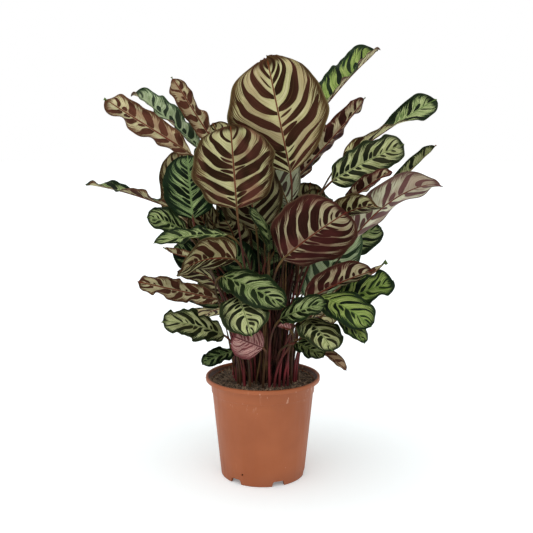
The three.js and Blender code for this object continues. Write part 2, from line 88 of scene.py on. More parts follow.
def calc(tree, operation, *values, clamp=False):
    """One sum on one to three values."""
    made = put(tree, "ShaderNodeMath", dict(enumerate(values)), operation=operation)
    made.use_clamp = clamp
    return made.outputs[0]


def plus(tree, one, other):
    """The sum of two values."""
    return calc(tree, "ADD", one, other)


def minus(tree, one, other):
    """One value less another."""
    return calc(tree, "SUBTRACT", one, other)


def times(tree, one, other):
    """The product of two values."""
    return calc(tree, "MULTIPLY", one, other)


def times_plus(tree, one, other, more):
    """The product of two values, and a third one more."""
    return calc(tree, "MULTIPLY_ADD", one, other, more)


def blend_colours(tree, share, under, over):
    """The colour over laid on the colour under, by a share from 0 to 1."""
    made = put(tree, "ShaderNodeMix", {0: share, 6: under, 7: over}, data_type="RGBA")
    return made.outputs[2]


def span(tree, value, low, high, to_low=0.0, to_high=1.0):
    """The value carried smoothly from one range to another and held at its ends."""
    made = put(tree, "ShaderNodeMapRange", {0: value, 1: low, 2: high, 3: to_low, 4: to_high},
               interpolation_type="SMOOTHSTEP")
    return made.outputs[0]


def paint(red, green, blue):
    """A colour as it looks on a screen, 0 to 255, as a shader's linear colour."""
    def linear(c):
        c /= 255
        return c / 12.92 if c <= 0.04045 else ((c + 0.055) / 1.055) ** 2.4
    return (linear(red), linear(green), linear(blue), 1.0)


def finish_of(name, **sockets):
    """A new material with one Principled shader, and its tree and shader."""
    material = bpy.data.materials.new(name)
    material.use_nodes = True
    tree = material.node_tree
    shader = tree.nodes["Principled BSDF"]
    for socket, value in sockets.items():
        shader.inputs[socket.replace("_", " ")].default_value = value
    return material, tree, shader


def with_sockets(group, inputs, outputs):
    """The node group with its named inputs and outputs, and the nodes that hold them."""
    for socket, kind, value in inputs:
        made = group.interface.new_socket(socket, in_out="INPUT", socket_type=kind)
        if value is not None:
            made.default_value = value
    for socket, kind in outputs:
        group.interface.new_socket(socket, in_out="OUTPUT", socket_type=kind)
    return group, put(group, "NodeGroupInput"), put(group, "NodeGroupOutput")


def stuff_group(name, inputs, outputs):
    """A node group for shaders."""
    return with_sockets(bpy.data.node_groups.new(name, "ShaderNodeTree"), inputs, outputs)


def new_piece(name, points, faces, materials):
    """An object at the origin with its place in its mesh."""
    mesh = bpy.data.meshes.new(name)
    mesh.from_pydata([tuple(p) for p in points], [], faces)
    mesh.update()
    for material in materials:
        mesh.materials.append(material)
    mesh.shade_smooth()
    piece = bpy.data.objects.new(name, mesh)
    bpy.context.scene.collection.objects.link(piece)
    return piece


def lathe(profile, sides):
    """Points and faces of a closed turned body; its profile starts and ends on the axis."""
    points = [(0, 0, profile[0][1] * MM)]
    for radius, height in profile[1:-1]:
        for i in range(sides):
            angle = 2 * math.pi * i / sides
            points.append((radius * MM * math.cos(angle), radius * MM * math.sin(angle),
                           height * MM))
    points.append((0, 0, profile[-1][1] * MM))
    top = len(points) - 1
    last = top - sides
    faces = []
    for i in range(sides):
        j = (i + 1) % sides
        faces.append((0, 1 + j, 1 + i))
        faces.append((top, last + i, last + j))
        for a in range(1, last, sides):
            b = a + sides
            faces.append((a + i, a + j, b + j, b + i))
    return points, faces


def wall_cutter(name, outline, reaches, angle):
    """A bar along a radius, to cut a hole of that outline (across, up) through the wall."""
    out = Vector((math.cos(angle), math.sin(angle), 0))
    side = Vector((-math.sin(angle), math.cos(angle), 0))
    points = [(out * reach + side * across + Vector((0, 0, up))) * MM
              for reach in reaches for across, up in outline]
    n = len(outline)
    faces = [tuple(range(n))[::-1], tuple(range(n, 2 * n))]
    faces += [(i, (i + 1) % n, n + (i + 1) % n, n + i) for i in range(n)]
    cutter = new_piece(name, points, faces, [])
    shape = bmesh.new()
    shape.from_mesh(cutter.data)
    bmesh.ops.recalc_face_normals(shape, faces=shape.faces)
    shape.to_mesh(cutter.data)
    shape.free()
    return cutter


def settle(piece):
    """The piece's mesh with its modifiers worked in, and the modifiers removed."""
    made = bpy.data.meshes.new_from_object(
        piece.evaluated_get(bpy.context.evaluated_depsgraph_get()))
    piece.modifiers.clear()
    old = piece.data
    piece.data = made
    if isinstance(old, bpy.types.Mesh):
        bpy.data.meshes.remove(old)
    made.name = piece.name
    return piece


# Speckle that plastic, soil and stalks share: slow blotches and quick grain.
grain_group, grain_in, grain_out = stuff_group(
    "fine grain",
    [("Blotch Scale", "NodeSocketFloat", 20.0), ("Grain Scale", "NodeSocketFloat", 900.0)],
    [("Blotches", "NodeSocketFloat"), ("Grain", "NodeSocketFloat")])
place = put(grain_group, "ShaderNodeTexCoord").outputs["Object"]
for socket, wanted, detail in (("Blotch Scale", "Blotches", 4.0), ("Grain Scale", "Grain", 2.0)):
    speckle = put(grain_group, "ShaderNodeTexNoise",
                  {"Vector": place, "Scale": grain_in.outputs[socket], "Detail": detail})
    grain_group.links.new(speckle.outputs[0], grain_out.inputs[wanted])


def grained(tree, blotch_scale, grain_scale):
    """The shared speckle in a material, at scales of its own."""
    return put(tree, "ShaderNodeGroup", {"Blotch Scale": blotch_scale, "Grain Scale": grain_scale},
               node_tree=grain_group).outputs


def mottled(tree, grain, under, over, low=0.35, high=0.65):
    """One colour with slow blotches of another."""
    return blend_colours(tree, span(tree, grain["Blotches"], low, high), under, over)


def dulled(tree, shader, grain, low, high):
    """A roughness that changes with the grain."""
    tree.links.new(span(tree, grain["Grain"], 0.3, 0.7, low, high), shader.inputs["Roughness"])


def dented(tree, shader, height, strength, depth):
    """A fine unevenness, its depth in metres."""
    bump = put(tree, "ShaderNodeBump", {"Height": height, "Strength": strength,
                                        "Distance": depth})
    tree.links.new(bump.outputs[0], shader.inputs["Normal"])


def upright_noise(tree, spot, squeeze, scale, detail, roughness):
    """Noise that is drawn out along the pot's height."""
    drawn = put(tree, "ShaderNodeMapping", {"Vector": spot, "Scale": (1, 1, squeeze)})
    return put(tree, "ShaderNodeTexNoise", {"Vector": drawn.outputs[0], "Scale": scale,
                                            "Detail": detail, "Roughness": roughness}).outputs[0]


pot_plastic, tree, shader = finish_of("pot plastic", Specular_IOR_Level=0.36)
grain = grained(tree, 14.0, 1400.0)
spot = put(tree, "ShaderNodeTexCoord").outputs["Object"]
spot_x, spot_y, spot_z = put(tree, "ShaderNodeSeparateXYZ", {0: spot}).outputs
body = mottled(tree, grain, paint(163, 89, 51), paint(175, 98, 58), 0.3, 0.7)
streaks = upright_noise(tree, spot, 0.07, 130.0, 5.0, 0.65)
scuff_zone = put(tree, "ShaderNodeTexNoise", {"Vector": spot, "Scale": 16.0, "Detail": 2.0})
scuffs = times(tree, span(tree, streaks, 0.6, 0.74),
               span(tree, scuff_zone.outputs[0], 0.5, 0.66))
body = blend_colours(tree, times(tree, scuffs, 0.5), body, paint(222, 170, 140))
# Lime from watering has dried in short drips below the lip and in a few splashes.
drips = upright_noise(tree, spot, 0.22, 210.0, 3.0, 0.6)
drip_height = times(tree, span(tree, spot_z, *DRIPS_BELOW_LIP),
                    span(tree, spot_z, *DRIPS_END_AT_LIP))
drip_mask = times(tree, span(tree, drips, 0.63, 0.68), drip_height)
splashes = put(tree, "ShaderNodeTexNoise", {"Vector": spot, "Scale": 330.0, "Detail": 1.0})
splash_zone = span(tree, scuff_zone.outputs[0], 0.56, 0.62)
splash_mask = times(tree, span(tree, splashes.outputs[0], 0.76, 0.79), splash_zone)
lime = calc(tree, "MAXIMUM", times(tree, drip_mask, 0.7), times(tree, splash_mask, 0.45))
body = blend_colours(tree, lime, body, paint(222, 178, 152))
# The pot is a little darker towards its foot.
darker_foot = times(tree, span(tree, spot_z, *DARKER_AT_FOOT),
                  span(tree, grain["Blotches"], 0.35, 0.6))
body = blend_colours(tree, times(tree, darker_foot, 0.35), body, paint(140, 84, 58))
# Soil sticks to the slope inside the lip.
from_axis = calc(tree, "SQRT", plus(tree, times(tree, spot_x, spot_x),
                                    times(tree, spot_y, spot_y)))
ragged = times_plus(tree, grain["Blotches"], 0.003, from_axis)
dirty = times(tree, span(tree, ragged, *DIRT_INSIDE_LIP), span(tree, spot_z, *DIRT_ABOVE))
dirt = blend_colours(tree, span(tree, grain["Grain"], 0.4, 0.65),
                     paint(52, 36, 28), paint(104, 72, 54))
body = blend_colours(tree, times(tree, dirty, 0.85), body, dirt)
tree.links.new(body, shader.inputs["Base Color"])
tree.links.new(span(tree, streaks, 0.35, 0.75, 0.4, 0.6), shader.inputs["Roughness"])
dented(tree, shader, plus(tree, grain["Grain"], streaks), 0.12, 0.0004)

pot = new_piece("nursery_pot", *lathe(POT_PROFILE, POT_SIDES), [pot_plastic])
# A notch's outline is rounded at its foot and at its top, and the same on both sides.
right_half = [(NOTCH_WIDTH / 2, -1), (NOTCH_WIDTH / 2 - 0.5, 0.8),
              (NOTCH_TOP_WIDTH / 2 + 0.5, NOTCH_HEIGHT - 1.2),
              (NOTCH_TOP_WIDTH / 2 - 0.8, NOTCH_HEIGHT)]
left_half = [(-across, up) for across, up in right_half]
notch = left_half[:1] + right_half + left_half[:0:-1]
weep = [(WEEP_WIDTH / 2 * math.cos(k * math.pi / 6),
         WEEP_HEIGHT + WEEP_WIDTH / 2 * math.sin(k * math.pi / 6)) for k in range(12)]
cutters = [wall_cutter(f"notch_cutter_{k}", notch, NOTCH_REACH, angle)
           for k, angle in enumerate(NOTCH_ANGLES)]
cutters.append(wall_cutter("weep_cutter", weep, WEEP_REACH, WEEP_ANGLE))
for cutter in cutters:
    cut = pot.modifiers.new(cutter.name, "BOOLEAN")
    cut.operation = "DIFFERENCE"
    cut.solver = "EXACT"
    cut.object = cutter
settle(pot)
for cutter in cutters:
    bpy.data.objects.remove(cutter)
pot.data.shade_smooth()
pot.data.set_sharp_from_angle(angle=math.radians(SHARP_POT_EDGE))
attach(pot, "root")
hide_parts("pot")

# ==== Soil ====
# A plug of dark peat that fills the pot to just under its lip, with crumbs of bark and bits of
# dry root lying on it. It is pressed in by hand round the stalks, so its top is uneven.
SOIL_SIDES = 120
SOIL_WALL = [(0, 9.8), (40, 9.8), (60.9, 10.6), (73.7, 125.1), (74.8, 126)]
SOIL_RADIUS = 75.6
SOIL_EDGE = 142.8
SOIL_MOUND = 4
SOIL_RINGS = 34
SOIL_SINK = 0.6  # how much lower its lumpy top lies
SOIL_LUMP = 1.6
SOIL_LUMPS = [(14, 0.9), (6, 0.6), (2.6, 0.4)]  # width of the lumps and their share of height
SOIL_LITTER_RADIUS = 79.5  # crumbs lie on the slope inside the lip too
LIP_SLOPE_FROM = 75.5  # where that slope begins, and how steep it is
LIP_SLOPE = 0.9
CRUMBS = 3000
CHIPS = 200
FIBRES = 420


def rough(x, y, cell, seed):
    """A smooth random height from -1 to 1 over a grid of cells of that size."""
    gx, gy = x / cell, y / cell
    ix, iy = np.floor(gx).astype(int), np.floor(gy).astype(int)
    fx, fy = gx - ix, gy - iy
    fx, fy = fx * fx * (3 - 2 * fx), fy * fy * (3 - 2 * fy)

    def corner(i, j):
        mix = np.sin(i * 127.1 + j * 311.7 + seed * 74.7) * 43758.5453
        return 2 * (mix - np.floor(mix)) - 1
    low = corner(ix, iy) * (1 - fx) + corner(ix + 1, iy) * fx
    high = corner(ix, iy + 1) * (1 - fx) + corner(ix + 1, iy + 1) * fx
    return low * (1 - fy) + high * fy


def soil_height(x, y):
    """How high the soil lies, in mm, at a place in mm."""
    share = np.hypot(x, y) / SOIL_RADIUS
    mound = SOIL_EDGE + SOIL_MOUND * (1 - share ** 2) - SOIL_SINK
    bumps = sum(rough(x, y, cell, seed) * height
                for seed, (cell, height) in enumerate(SOIL_LUMPS, 1))
    return mound + SOIL_LUMP * bumps * np.clip((1.04 - share) * 5, 0.25, 1)


soil_profile = SOIL_WALL + [(SOIL_RADIUS * (1 - k / SOIL_RINGS), SOIL_EDGE)
                            for k in range(SOIL_RINGS)] + [(0, SOIL_EDGE)]
points, faces = lathe(soil_profile, SOIL_SIDES)
points = np.array(points)
top = points[:, 2] > (SOIL_EDGE - 1) * MM
points[top, 2] = soil_height(points[top, 0] / MM, points[top, 1] / MM) * MM

peat, tree, shader = finish_of("peat", Specular_IOR_Level=0.06)
grain = grained(tree, 90.0, 900.0)
peat_colour = mottled(tree, grain, paint(56, 47, 40), paint(104, 90, 78))
peat_colour = blend_colours(tree, span(tree, grain["Grain"], 0.6, 0.72),
                            peat_colour, paint(142, 126, 110))
tree.links.new(peat_colour, shader.inputs["Base Color"])
dulled(tree, shader, grain, 0.85, 1.0)
dented(tree, shader, grain["Grain"], 0.8, 0.0012)

soil = new_piece("soil_plug", points, faces, [peat])
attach(soil, "root")
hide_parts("soil")

# ---- crumbs, chips and dry roots on the soil ----
# Bark crumbs, larger chips of bark and pale root threads, scattered loose on the peat.


def litter_finish(name, specular, scales, blotches, under, over, roughness):
    """The finish of one kind of litter, in two mottled colours."""
    material, tree, shader = finish_of(name, Specular_IOR_Level=specular)
    grain = grained(tree, *scales)
    tree.links.new(mottled(tree, grain, under, over, *blotches), shader.inputs["Base Color"])
    dulled(tree, shader, grain, *roughness)
    return material


bark = litter_finish("bark crumbs", 0.2, (160.0, 1500.0), (0.38, 0.62),
                     paint(74, 62, 52), paint(150, 128, 106), (0.75, 1.0))
chip_bark = litter_finish("bark chips", 0.2, (120.0, 1300.0), (0.4, 0.6),
                          paint(112, 88, 70), paint(176, 150, 124), (0.7, 0.95))
root_skin = litter_finish("dry roots", 0.25, (70.0, 1200.0), (0.35, 0.65),
                          paint(122, 104, 86), paint(178, 156, 132), (0.6, 0.9))


def making_tree(name, inputs):
    """A geometry tree with a mesh in, a mesh out and named inputs."""
    tree, given, out = with_sockets(
        bpy.data.node_groups.new(name, "GeometryNodeTree"),
        [("Geometry", "NodeSocketGeometry", None)] + inputs,
        [("Geometry", "NodeSocketGeometry")])
    return tree, given.outputs, out


def apply_tree(piece, tree, values):
    """Runs the tree on the piece, with its inputs set by identifier, and settles the piece."""
    step = piece.modifiers.new(tree.name, "NODES")
    step.node_group = tree
    for item in tree.interface.items_tree:
        if item.item_type == "SOCKET" and item.in_out == "INPUT" and item.name in values:
            step[item.identifier] = values[item.name]
    piece.update_tag()
    bpy.context.view_layer.update()
    return settle(piece)


def random_number(tree, low, high, seed):
    """A random number for each point."""
    made = put(tree, "FunctionNodeRandomValue", {2: low, 3: high, "Seed": seed},
               data_type="FLOAT")
    return made.outputs[1]


def random_vector(tree, low, high, seed):
    """Three random numbers for each point."""
    made = put(tree, "FunctionNodeRandomValue", {0: low, 1: high, "Seed": seed},
               data_type="FLOAT_VECTOR")
    return made.outputs[0]


def finish_tree(tree, shape, material, out):
    """Realizes the instances, gives them their material and sends them out."""
    real = put(tree, "GeometryNodeRealizeInstances", {"Geometry": shape}).outputs[0]
    worn = put(tree, "GeometryNodeSetMaterial", {"Geometry": real, "Material": material})
    tree.links.new(worn.outputs[0], out.inputs[0])


crumb_tree, given, out = making_tree("scatter crumbs", [
    ("Crumb Size", "NodeSocketFloat", 0.001), ("Seed", "NodeSocketInt", 5),
    ("Material", "NodeSocketMaterial", None)])
lump = put(crumb_tree, "GeometryNodeMeshIcoSphere", {"Radius": 1.0, "Subdivisions": 1})
dents = put(crumb_tree, "ShaderNodeTexNoise", {
    "Vector": put(crumb_tree, "GeometryNodeInputPosition").outputs[0], "Scale": 1.4})
jag = put(crumb_tree, "ShaderNodeVectorMath", {
    0: dents.outputs[1], 1: (0.5, 0.5, 0.5)}, operation="SUBTRACT")
lump = put(crumb_tree, "GeometryNodeSetPosition", {
    "Geometry": lump.outputs[0], "Offset": jag.outputs[0]}).outputs[0]
sizes = put(crumb_tree, "ShaderNodeVectorMath", {
    0: random_vector(crumb_tree, (0.5, 0.35, 0.3), (1.7, 1.1, 0.8), given["Seed"]),
    "Scale": given["Crumb Size"]}, operation="SCALE")
crumbs = put(crumb_tree, "GeometryNodeInstanceOnPoints", {
    "Points": put(crumb_tree, "GeometryNodeMeshToPoints",
                  {"Mesh": given["Geometry"]}).outputs[0],
    "Instance": lump, "Scale": sizes.outputs[0],
    "Rotation": random_vector(crumb_tree, (-3.14, -3.14, -3.14), (3.14, 3.14, 3.14), 11)})
finish_tree(crumb_tree, crumbs.outputs[0], given["Material"], out)

fibre_tree, given, out = making_tree("lay dry roots", [
    ("Length", "NodeSocketFloat", 0.012), ("Thickness", "NodeSocketFloat", 0.0003),
    ("Curl", "NodeSocketFloat", 0.005), ("Seed", "NodeSocketInt", 8),
    ("Material", "NodeSocketMaterial", None)])
thread = put(fibre_tree, "GeometryNodeCurvePrimitiveLine", {
    "Start": (-0.5, 0, 0), "End": (0.5, 0, 0)})
laid = put(fibre_tree, "GeometryNodeInstanceOnPoints", {
    "Points": put(fibre_tree, "GeometryNodeMeshToPoints",
                  {"Mesh": given["Geometry"]}).outputs[0],
    "Instance": put(fibre_tree, "GeometryNodeResampleCurve", {
        "Curve": thread.outputs[0], "Count": 8}).outputs[0],
    "Rotation": random_vector(fibre_tree, (-0.25, -0.25, -3.14), (0.25, 0.25, 3.14), 21),
    "Scale": calc(fibre_tree, "MULTIPLY", given["Length"],
                  random_number(fibre_tree, 0.35, 1.6, given["Seed"]))})
real = put(fibre_tree, "GeometryNodeRealizeInstances", {"Geometry": laid.outputs[0]})
wander = put(fibre_tree, "ShaderNodeTexNoise", {
    "Vector": put(fibre_tree, "GeometryNodeInputPosition").outputs[0], "Scale": 95.0})
drift = put(fibre_tree, "ShaderNodeVectorMath", {
    0: wander.outputs[1], 1: (0.5, 0.5, 0.5)}, operation="SUBTRACT")
drift = put(fibre_tree, "ShaderNodeVectorMath", {
    0: drift.outputs[0], "Scale": given["Curl"]}, operation="SCALE")
bent = put(fibre_tree, "GeometryNodeSetPosition", {
    "Geometry": real.outputs[0], "Offset": drift.outputs[0]})
tube = put(fibre_tree, "GeometryNodeCurveToMesh", {
    "Curve": bent.outputs[0],
    "Profile Curve": put(fibre_tree, "GeometryNodeCurvePrimitiveCircle", {
        "Resolution": 5, "Radius": given["Thickness"]}).outputs[0],
    "Fill Caps": True})
finish_tree(fibre_tree, tube.outputs[0], given["Material"], out)

scatter = np.random.default_rng(41)


def spots_on_soil(count, lift):
    """Random places on the soil, in metres, a little above it."""
    radius = SOIL_LITTER_RADIUS * np.sqrt(scatter.random(count))
    angle = 2 * np.pi * scatter.random(count)
    x, y = radius * np.cos(angle), radius * np.sin(angle)
    up_the_slope = LIP_SLOPE * np.maximum(radius - LIP_SLOPE_FROM, 0)
    return np.column_stack([x, y, soil_height(x, y) + lift + up_the_slope]) * MM


crumbs = new_piece("soil_crumbs", spots_on_soil(CRUMBS, 0.1), [], [bark])
apply_tree(crumbs, crumb_tree, {"Crumb Size": 1.15 * MM, "Seed": 5, "Material": bark})
chips = new_piece("soil_chips", spots_on_soil(CHIPS, 0.5), [], [chip_bark])
apply_tree(chips, crumb_tree, {"Crumb Size": 2.1 * MM, "Seed": 17, "Material": chip_bark})
fibres = new_piece("soil_roots", spots_on_soil(FIBRES, 0.9), [], [root_skin])
apply_tree(fibres, fibre_tree, {"Length": 11 * MM, "Thickness": 0.22 * MM, "Curl": 6 * MM,
                                "Seed": 8, "Material": root_skin})
for piece in (crumbs, chips, fibres):
    piece.data.shade_flat()
    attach(piece, "root")

# ==== Leaves ====
# Each leaf is one growth: a round stalk that rises from the soil, thickens to a joint under
# the blade and runs on as its midrib, and a thin blade with a waved margin. Undersides are
# wine brown with yellow green bands, upper sides green with dark bottle green blotches.
ROWS = 66
COLUMNS = 15
BLADE = 0.42  # thickness at the midrib, mm
MARGIN = 0.28
STALK_SIDES = 10
SHEATH = 0.5  # how much a stalk widens where its sheath clasps it at the soil, mm
SHEATH_TOP = 190  # the sheath ends at this height, and thins out over so much below it
SHEATH_FADE = 70
PLEAT = 0.45  # how high the blade stands between two side veins, mm
VEIN_START = 0.68  # how steeply side veins leave the midrib, and how much they bend to the tip
VEIN_BEND = 0.55
SLANT = 0.8  # how far a side vein climbs for its length
STEEP_BASE = 0.72  # how much of that it has at the foot of a blade, and how much more at its tip
STEEP_TIP = 0.6
LEAF_SHIFT = 0.63  # how far the veins are shifted from one leaf to the next, in veins
SIDE_SHIFT = 0.12  # and from one side of a blade to the other
BASE_PAIRS = 4.3  # pairs of side veins on any blade, and one more for so much of its length
MM_FOR_A_PAIR = 100
LEAST_AND_MOST_PAIRS = (4.6, 5.9)
UNEVEN = 0.035  # how much a blade's outline swells and shrinks
TIP_FULL_AT = 0.92  # where along a blade its blunt tip is filled out
STALK_END = 7.0  # from the stalk's last ring to the blade
STALK_LINKS = 46  # places along a stalk's finer tube
STALK_THICK = 1.75  # its radius at the soil, and how much thinner it is at the blade
STALK_TAPER = 0.45
JOINT_SWELL = 0.38  # how much the joint stands out, how far below the blade, and its length
JOINT_BELOW = 6
JOINT_LENGTH = 7
RIB_THICK = 0.95  # the midrib's radius at the blade's foot and at its tip
RIB_TIP = 0.14
SHARP_LEAF_EDGE = 70  # degrees
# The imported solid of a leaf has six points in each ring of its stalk, ten in each ring of its
# blade, and one at its tip, where ten edges meet.
STALK_RINGS = 6
RING_SIZES = [6] * STALK_RINGS + [10] * 8 + [1]
TIP_LINKS = 10


def rings_of(node):
    """The rings of points along a leaf's solid, from the foot of its stalk to its tip."""
    shell = bmesh.new()
    shell.from_mesh(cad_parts[node].data)
    bmesh.ops.remove_doubles(shell, verts=shell.verts, dist=1e-6)
    for tip in [v for v in shell.verts if len(v.link_edges) == TIP_LINKS]:
        rings, seen = [[tip]], {tip}
        while rings[-1]:
            ring = []
            for v in rings[-1]:
                for edge in v.link_edges:
                    other = edge.other_vert(v)
                    if other not in seen:
                        seen.add(other)
                        ring.append(other)
            rings.append(ring)
        rings = rings[:-1][::-1]
        if [len(r) for r in rings] == RING_SIZES:
            break
    blade = rings[STALK_RINGS:-1]

    def walk(ring, first, second):
        """The ring's points in order round it."""
        order = [first, second]
        while len(order) < len(ring):
            order.append(next(e.other_vert(order[-1]) for e in order[-1].link_edges
                              if e.other_vert(order[-1]) in ring
                              and e.other_vert(order[-1]) is not order[-2]))
        return order

    def ways_round(ring):
        """The ring from every start, both ways."""
        first = ring[0]
        second = next(e.other_vert(first) for e in first.link_edges
                      if e.other_vert(first) in ring)
        order = walk(ring, first, second)
        for way in (order, order[::-1]):
            for k in range(len(way)):
                yield way[k:] + way[:k]

    def gap(a, b):
        """The distance between two points."""
        return (a.co - b.co).length

    # The widest ring: its two short edges are the margins.
    centre = [sum((v.co for v in ring), Vector()) / len(ring) for ring in blade]
    along = (centre[5] - centre[3]).normalized()
    best = None
    for way in ways_round(blade[4]):
        right = (way[4].co - way[0].co).normalized()
        upper = (way[2].co - way[7].co).normalized()
        score = gap(way[9], way[0]) + gap(way[4], way[5])
        if along.cross(upper).dot(right) > 0 and (best is None or score < best[0]):
            best = (score, way)
    ordered = {4: best[1]}
    for k, beside in ((3, 4), (2, 3), (1, 2), (0, 1), (5, 4), (6, 5), (7, 6)):
        near = ordered[beside]
        ordered[k] = next(way for way in ways_round(blade[k])
                          if all(any(e.other_vert(a) is b for e in a.link_edges)
                                 for a, b in zip(way, near)))
    # The margin's upper edge lies further out than its lower one, so that tells the sides.
    further_out = 0
    for way in ordered.values():
        for upper, lower, inner in ((0, 9, (1, 8)), (4, 5, (3, 6))):
            outward = (way[upper].co + way[lower].co - way[inner[0]].co - way[inner[1]].co)
            further_out += (way[upper].co - way[lower].co).dot(outward.normalized())
    if further_out < 0:
        ordered = {k: way[5:] + way[:5] for k, way in ordered.items()}
    stalk = [sum((v.co for v in ring), Vector()) / len(ring) for ring in rings[:STALK_RINGS]]
    sheet = [[((ordered[k][c].co + ordered[k][9 - c].co) / 2) for c in range(5)]
             for k in range(8)]
    tip = rings[-1][0].co
    result = np.array(stalk) / MM, np.array(sheet) / MM, np.array(tip) / MM
    shell.free()
    return result


def smooth_through(knots, values, places):
    """A smooth curve through values at the knots, read at the places."""
    slopes = np.gradient(values, knots, axis=0)
    i = np.clip(np.searchsorted(knots, places, side="right") - 1, 0, len(knots) - 2)
    step = (knots[i + 1] - knots[i])[:, None]
    u = ((places - knots[i]) / (knots[i + 1] - knots[i]))[:, None]
    return ((2 * u ** 3 - 3 * u ** 2 + 1) * values[i] + (u ** 3 - 2 * u ** 2 + u) * step * slopes[i]
            + (3 * u ** 2 - 2 * u ** 3) * values[i + 1]
            + (u ** 3 - u ** 2) * step * slopes[i + 1])


def unit(vectors):
    """The vectors at a length of 1."""
    return vectors / np.maximum(np.linalg.norm(vectors, axis=-1, keepdims=True), 1e-9)


def blade_sheet(stalk, sheet, tip, shape, seed, slant, pairs):
    """The blade's middle surface as a grid of points, mm, and where each lies on the blade."""
    ruffle, ripples, fullness, curl, shoulders = shape
    base = stalk[-1] + unit(sheet[0, 2] - stalk[-1]) * STALK_END
    rib = np.vstack([base, sheet[:, 2], tip])
    steps = np.linalg.norm(np.diff(rib, axis=0), axis=1)
    t = np.concatenate([[0], np.cumsum(steps)]) / steps.sum()
    # Rows crowd at both ends, so that a blade closes there in a round and not in a corner.
    knots = np.arccos(np.clip(1 - 2 * t, -1, 1)) / np.pi
    rows = np.linspace(0, 1, ROWS)
    centre = smooth_through(knots, rib, rows)
    nothing = np.zeros((1, 3))
    arms = [smooth_through(knots, np.vstack([nothing, sheet[:, c] - sheet[:, 2], nothing]), rows)
            for c in (0, 1, 3, 4)]
    along = (1 - np.cos(np.pi * rows)) / 2
    length = steps.sum()
    point = np.clip((1 - along) * length / 2.5, 0, 1) ** 0.5
    point = point * (1 + fullness * np.exp(-((along - TIP_FULL_AT) / 0.09) ** 2))
    across = np.linspace(-1, 1, 2 * COLUMNS + 1)
    grid = np.zeros((ROWS, len(across), 3))
    # Each margin swells and shrinks in its own long and short waves.
    edges = [1 + UNEVEN * (np.sin(2 * np.pi * (1.4 * along + seed * k))
                           + 0.6 * np.sin(2 * np.pi * (3.7 * along + seed * k * 1.7)))
             * np.sin(np.pi * along) for k in (0.37, 0.83)]
    for c, v in enumerate(across):
        a = abs(v)
        half, margin = (arms[1], arms[0]) if v < 0 else (arms[2], arms[3])
        arm = half * 4 * a * (1 - a) + margin * a * (2 * a - 1)
        grid[:, c] = centre + arm * (point * edges[v > 0])[:, None]
        ahead = shoulders * 4 * a * (1 - a) * (0.75 - 0.5 * v) * np.clip((along - 0.7) / 0.2, 0, 1)
        grid[:, c] += unit(centre[-1] - centre[-12]) * ahead[:, None]
    normal = np.cross(np.gradient(grid, axis=0), np.gradient(grid, axis=1))
    normal = -unit(normal)
    normal[0], normal[-1] = normal[1], normal[-2]
    reach = np.linalg.norm(grid - centre[:, None], axis=2)
    widest = reach.max()
    side = np.where(across < 0, 0.37, 0.0)[None, :]
    # The margin ruffles, the tip curls, and the blade stands in pleats between its side veins.
    wave = (np.sin(2 * np.pi * (ripples * along[:, None] + side + seed * 0.61))
            + 0.5 * np.sin(2 * np.pi * (ripples * 1.83 * along[:, None] - side + seed * 0.29)))
    lift = ruffle * wave * np.abs(across)[None, :] ** 2.2 * np.minimum(1, reach / widest * 1.6)
    lift += curl * np.clip((along[:, None] - 0.8) / 0.2, 0, 1) ** 2
    away = np.abs(across)[None, :]
    climb = slant * (STEEP_BASE + STEEP_TIP * along[:, None])
    turn = (along[:, None] - climb * away * (VEIN_START + VEIN_BEND * away)) * pairs
    turn = turn + seed * LEAF_SHIFT + SIDE_SHIFT * np.sign(across)[None, :]
    bands = np.cos(2 * np.pi * (turn + 0.27))
    lift -= PLEAT * bands * np.sin(np.pi * away ** 0.8) * np.minimum(1, reach / 9)
    grid = grid + normal * lift[:, :, None]
    normal = -unit(np.cross(np.gradient(grid, axis=0), np.gradient(grid, axis=1)))
    normal[0], normal[-1] = normal[1], normal[-2]
    return base, grid, normal, along, across, reach


def blade_shell(grid, normal, across):
    """The two sides of a blade and the rim between them: points, faces and sides."""
    rows, columns = grid.shape[:2]
    thick = (BLADE + (MARGIN - BLADE) * np.abs(across))[None, :, None] / 2
    upper = (grid + normal * thick).reshape(-1, 3)
    under = (grid - normal * thick).reshape(-1, 3)
    n = rows * columns
    faces, sides = [], []
    for r in range(rows - 1):
        for c in range(columns - 1):
            a, b = r * columns + c, (r + 1) * columns + c
            faces.append((a, a + 1, b + 1, b))
            sides.append(0)
            faces.append((n + a, n + b, n + b + 1, n + a + 1))
            sides.append(1)
        a, b = r * columns, (r + 1) * columns
        faces.append((a, b, n + b, n + a))
        sides.append(1)
        a, b = a + columns - 1, b + columns - 1
        faces.append((a, n + a, n + b, b))
        sides.append(1)
    return np.vstack([upper, under]), faces, sides


# ---- stalk and midrib ----
stalk_tree, given, out = making_tree("grow a stalk", [
    ("Sides", "NodeSocketInt", 10), ("Material", "NodeSocketMaterial", None)])
girth = put(stalk_tree, "GeometryNodeInputNamedAttribute", {"Name": "girth"},
            data_type="FLOAT").outputs[0]
swept = put(stalk_tree, "GeometryNodeCurveToMesh", {
    "Curve": put(stalk_tree, "GeometryNodeMeshToCurve", {"Mesh": given["Geometry"]}).outputs[0],
    "Profile Curve": put(stalk_tree, "GeometryNodeCurvePrimitiveCircle", {
        "Resolution": given["Sides"], "Radius": 1.0}).outputs[0],
    "Scale": girth, "Fill Caps": True})
finish_tree(stalk_tree, swept.outputs[0], given["Material"], out)


